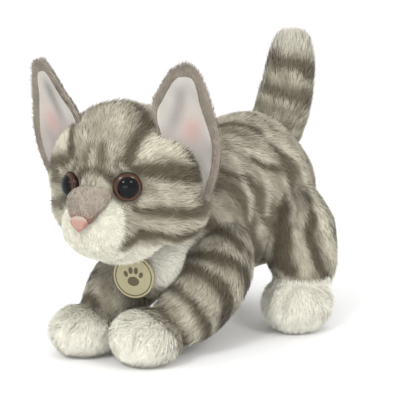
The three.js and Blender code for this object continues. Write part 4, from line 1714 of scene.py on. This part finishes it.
def washer_material():
    nodes = Nodes("washer_plastic", 0.5, Specular_IOR_Level=0.4)
    nodes.colour(nodes.ramp(nodes.noise(600), [(0.3, (0.6, 0.6, 0.58)), (0.7, (0.7, 0.7, 0.68))]))
    nodes.roughness(nodes.grey_ramp(nodes.noise(900), 0.4, 0.6))
    return nodes.material


WASHER = washer_material()
for side_name, side in SIDES:
    washer = bpy.data.objects["eye_washer_" + side_name]
    for slot in washer.material_slots:
        slot.material = WASHER

# ---- Stage, light and camera -----------------------------------------------------------------------------

VIEW_AZIMUTH = 46
VIEW_ELEVATION = 11
CAMERA_DISTANCE = 0.85


def towards(azimuth, elevation):
    """The direction from the cat to what looks at it from an azimuth and elevation in degrees."""
    a, e = math.radians(azimuth), math.radians(elevation)
    return Vector((math.sin(a) * math.cos(e), -math.cos(a) * math.cos(e), math.sin(e)))


def add_camera():
    back = towards(VIEW_AZIMUTH, VIEW_ELEVATION)
    right = Vector((math.cos(math.radians(VIEW_AZIMUTH)), math.sin(math.radians(VIEW_AZIMUTH)), 0))
    up = back.cross(right)
    target = Vector((0, 0.017245, 0.1)) - right * 0.0036 - up * 0.00324
    data = bpy.data.cameras.new("camera")
    data.angle = 2 * math.atan(0.144 / CAMERA_DISTANCE)
    data.clip_start = 0.05
    camera = bpy.data.objects.new("camera", data)
    camera.location = target + back * CAMERA_DISTANCE
    camera.rotation_euler = back.to_track_quat("Z", "Y").to_euler()
    bpy.context.scene.collection.objects.link(camera)
    bpy.context.scene.camera = camera


def add_light(name, azimuth, elevation, distance, size, power):
    data = bpy.data.lights.new(name, "AREA")
    data.shape = "RECTANGLE"
    data.size, data.size_y = size
    data.energy = power
    lamp = bpy.data.objects.new(name, data)
    back = towards(azimuth, elevation)
    lamp.location = Vector((0, 0, 0.1)) + back * distance
    lamp.rotation_euler = back.to_track_quat("Z", "Y").to_euler()
    bpy.context.scene.collection.objects.link(lamp)


def add_stage():
    mesh = bpy.data.meshes.new("floor")
    reach = 6.0
    corners = [(-reach, -reach, 0), (reach, -reach, 0), (reach, reach, 0), (-reach, reach, 0)]
    mesh.from_pydata(corners, [], [(0, 1, 2, 3)])
    nodes = Nodes("floor", 0.9, Specular_IOR_Level=0.1)
    nodes.colour(nodes.ramp(nodes.noise(3), [(0.3, (0.95, 0.95, 0.95)), (0.7, (0.97, 0.97, 0.97))]))
    mesh.materials.append(nodes.material)
    floor = bpy.data.objects.new("floor", mesh)
    bpy.context.scene.collection.objects.link(floor)


def add_world():
    world = bpy.data.worlds.new("studio")
    world.use_nodes = True
    world.node_tree.nodes["Background"].inputs["Color"].default_value = (1, 1, 1, 1)
    world.node_tree.nodes["Background"].inputs["Strength"].default_value = 1.06
    bpy.context.scene.world = world


add_camera()
add_stage()
add_world()
add_light("key", 20, 38, 1.3, (0.3, 0.3), 5.5)
add_light("fill", 85, 35, 1.3, (0.3, 0.3), 3)
add_light("front", 40, 2, 1.6, (0.9, 0.5), 4)
bpy.context.scene.view_settings.view_transform = "Standard"
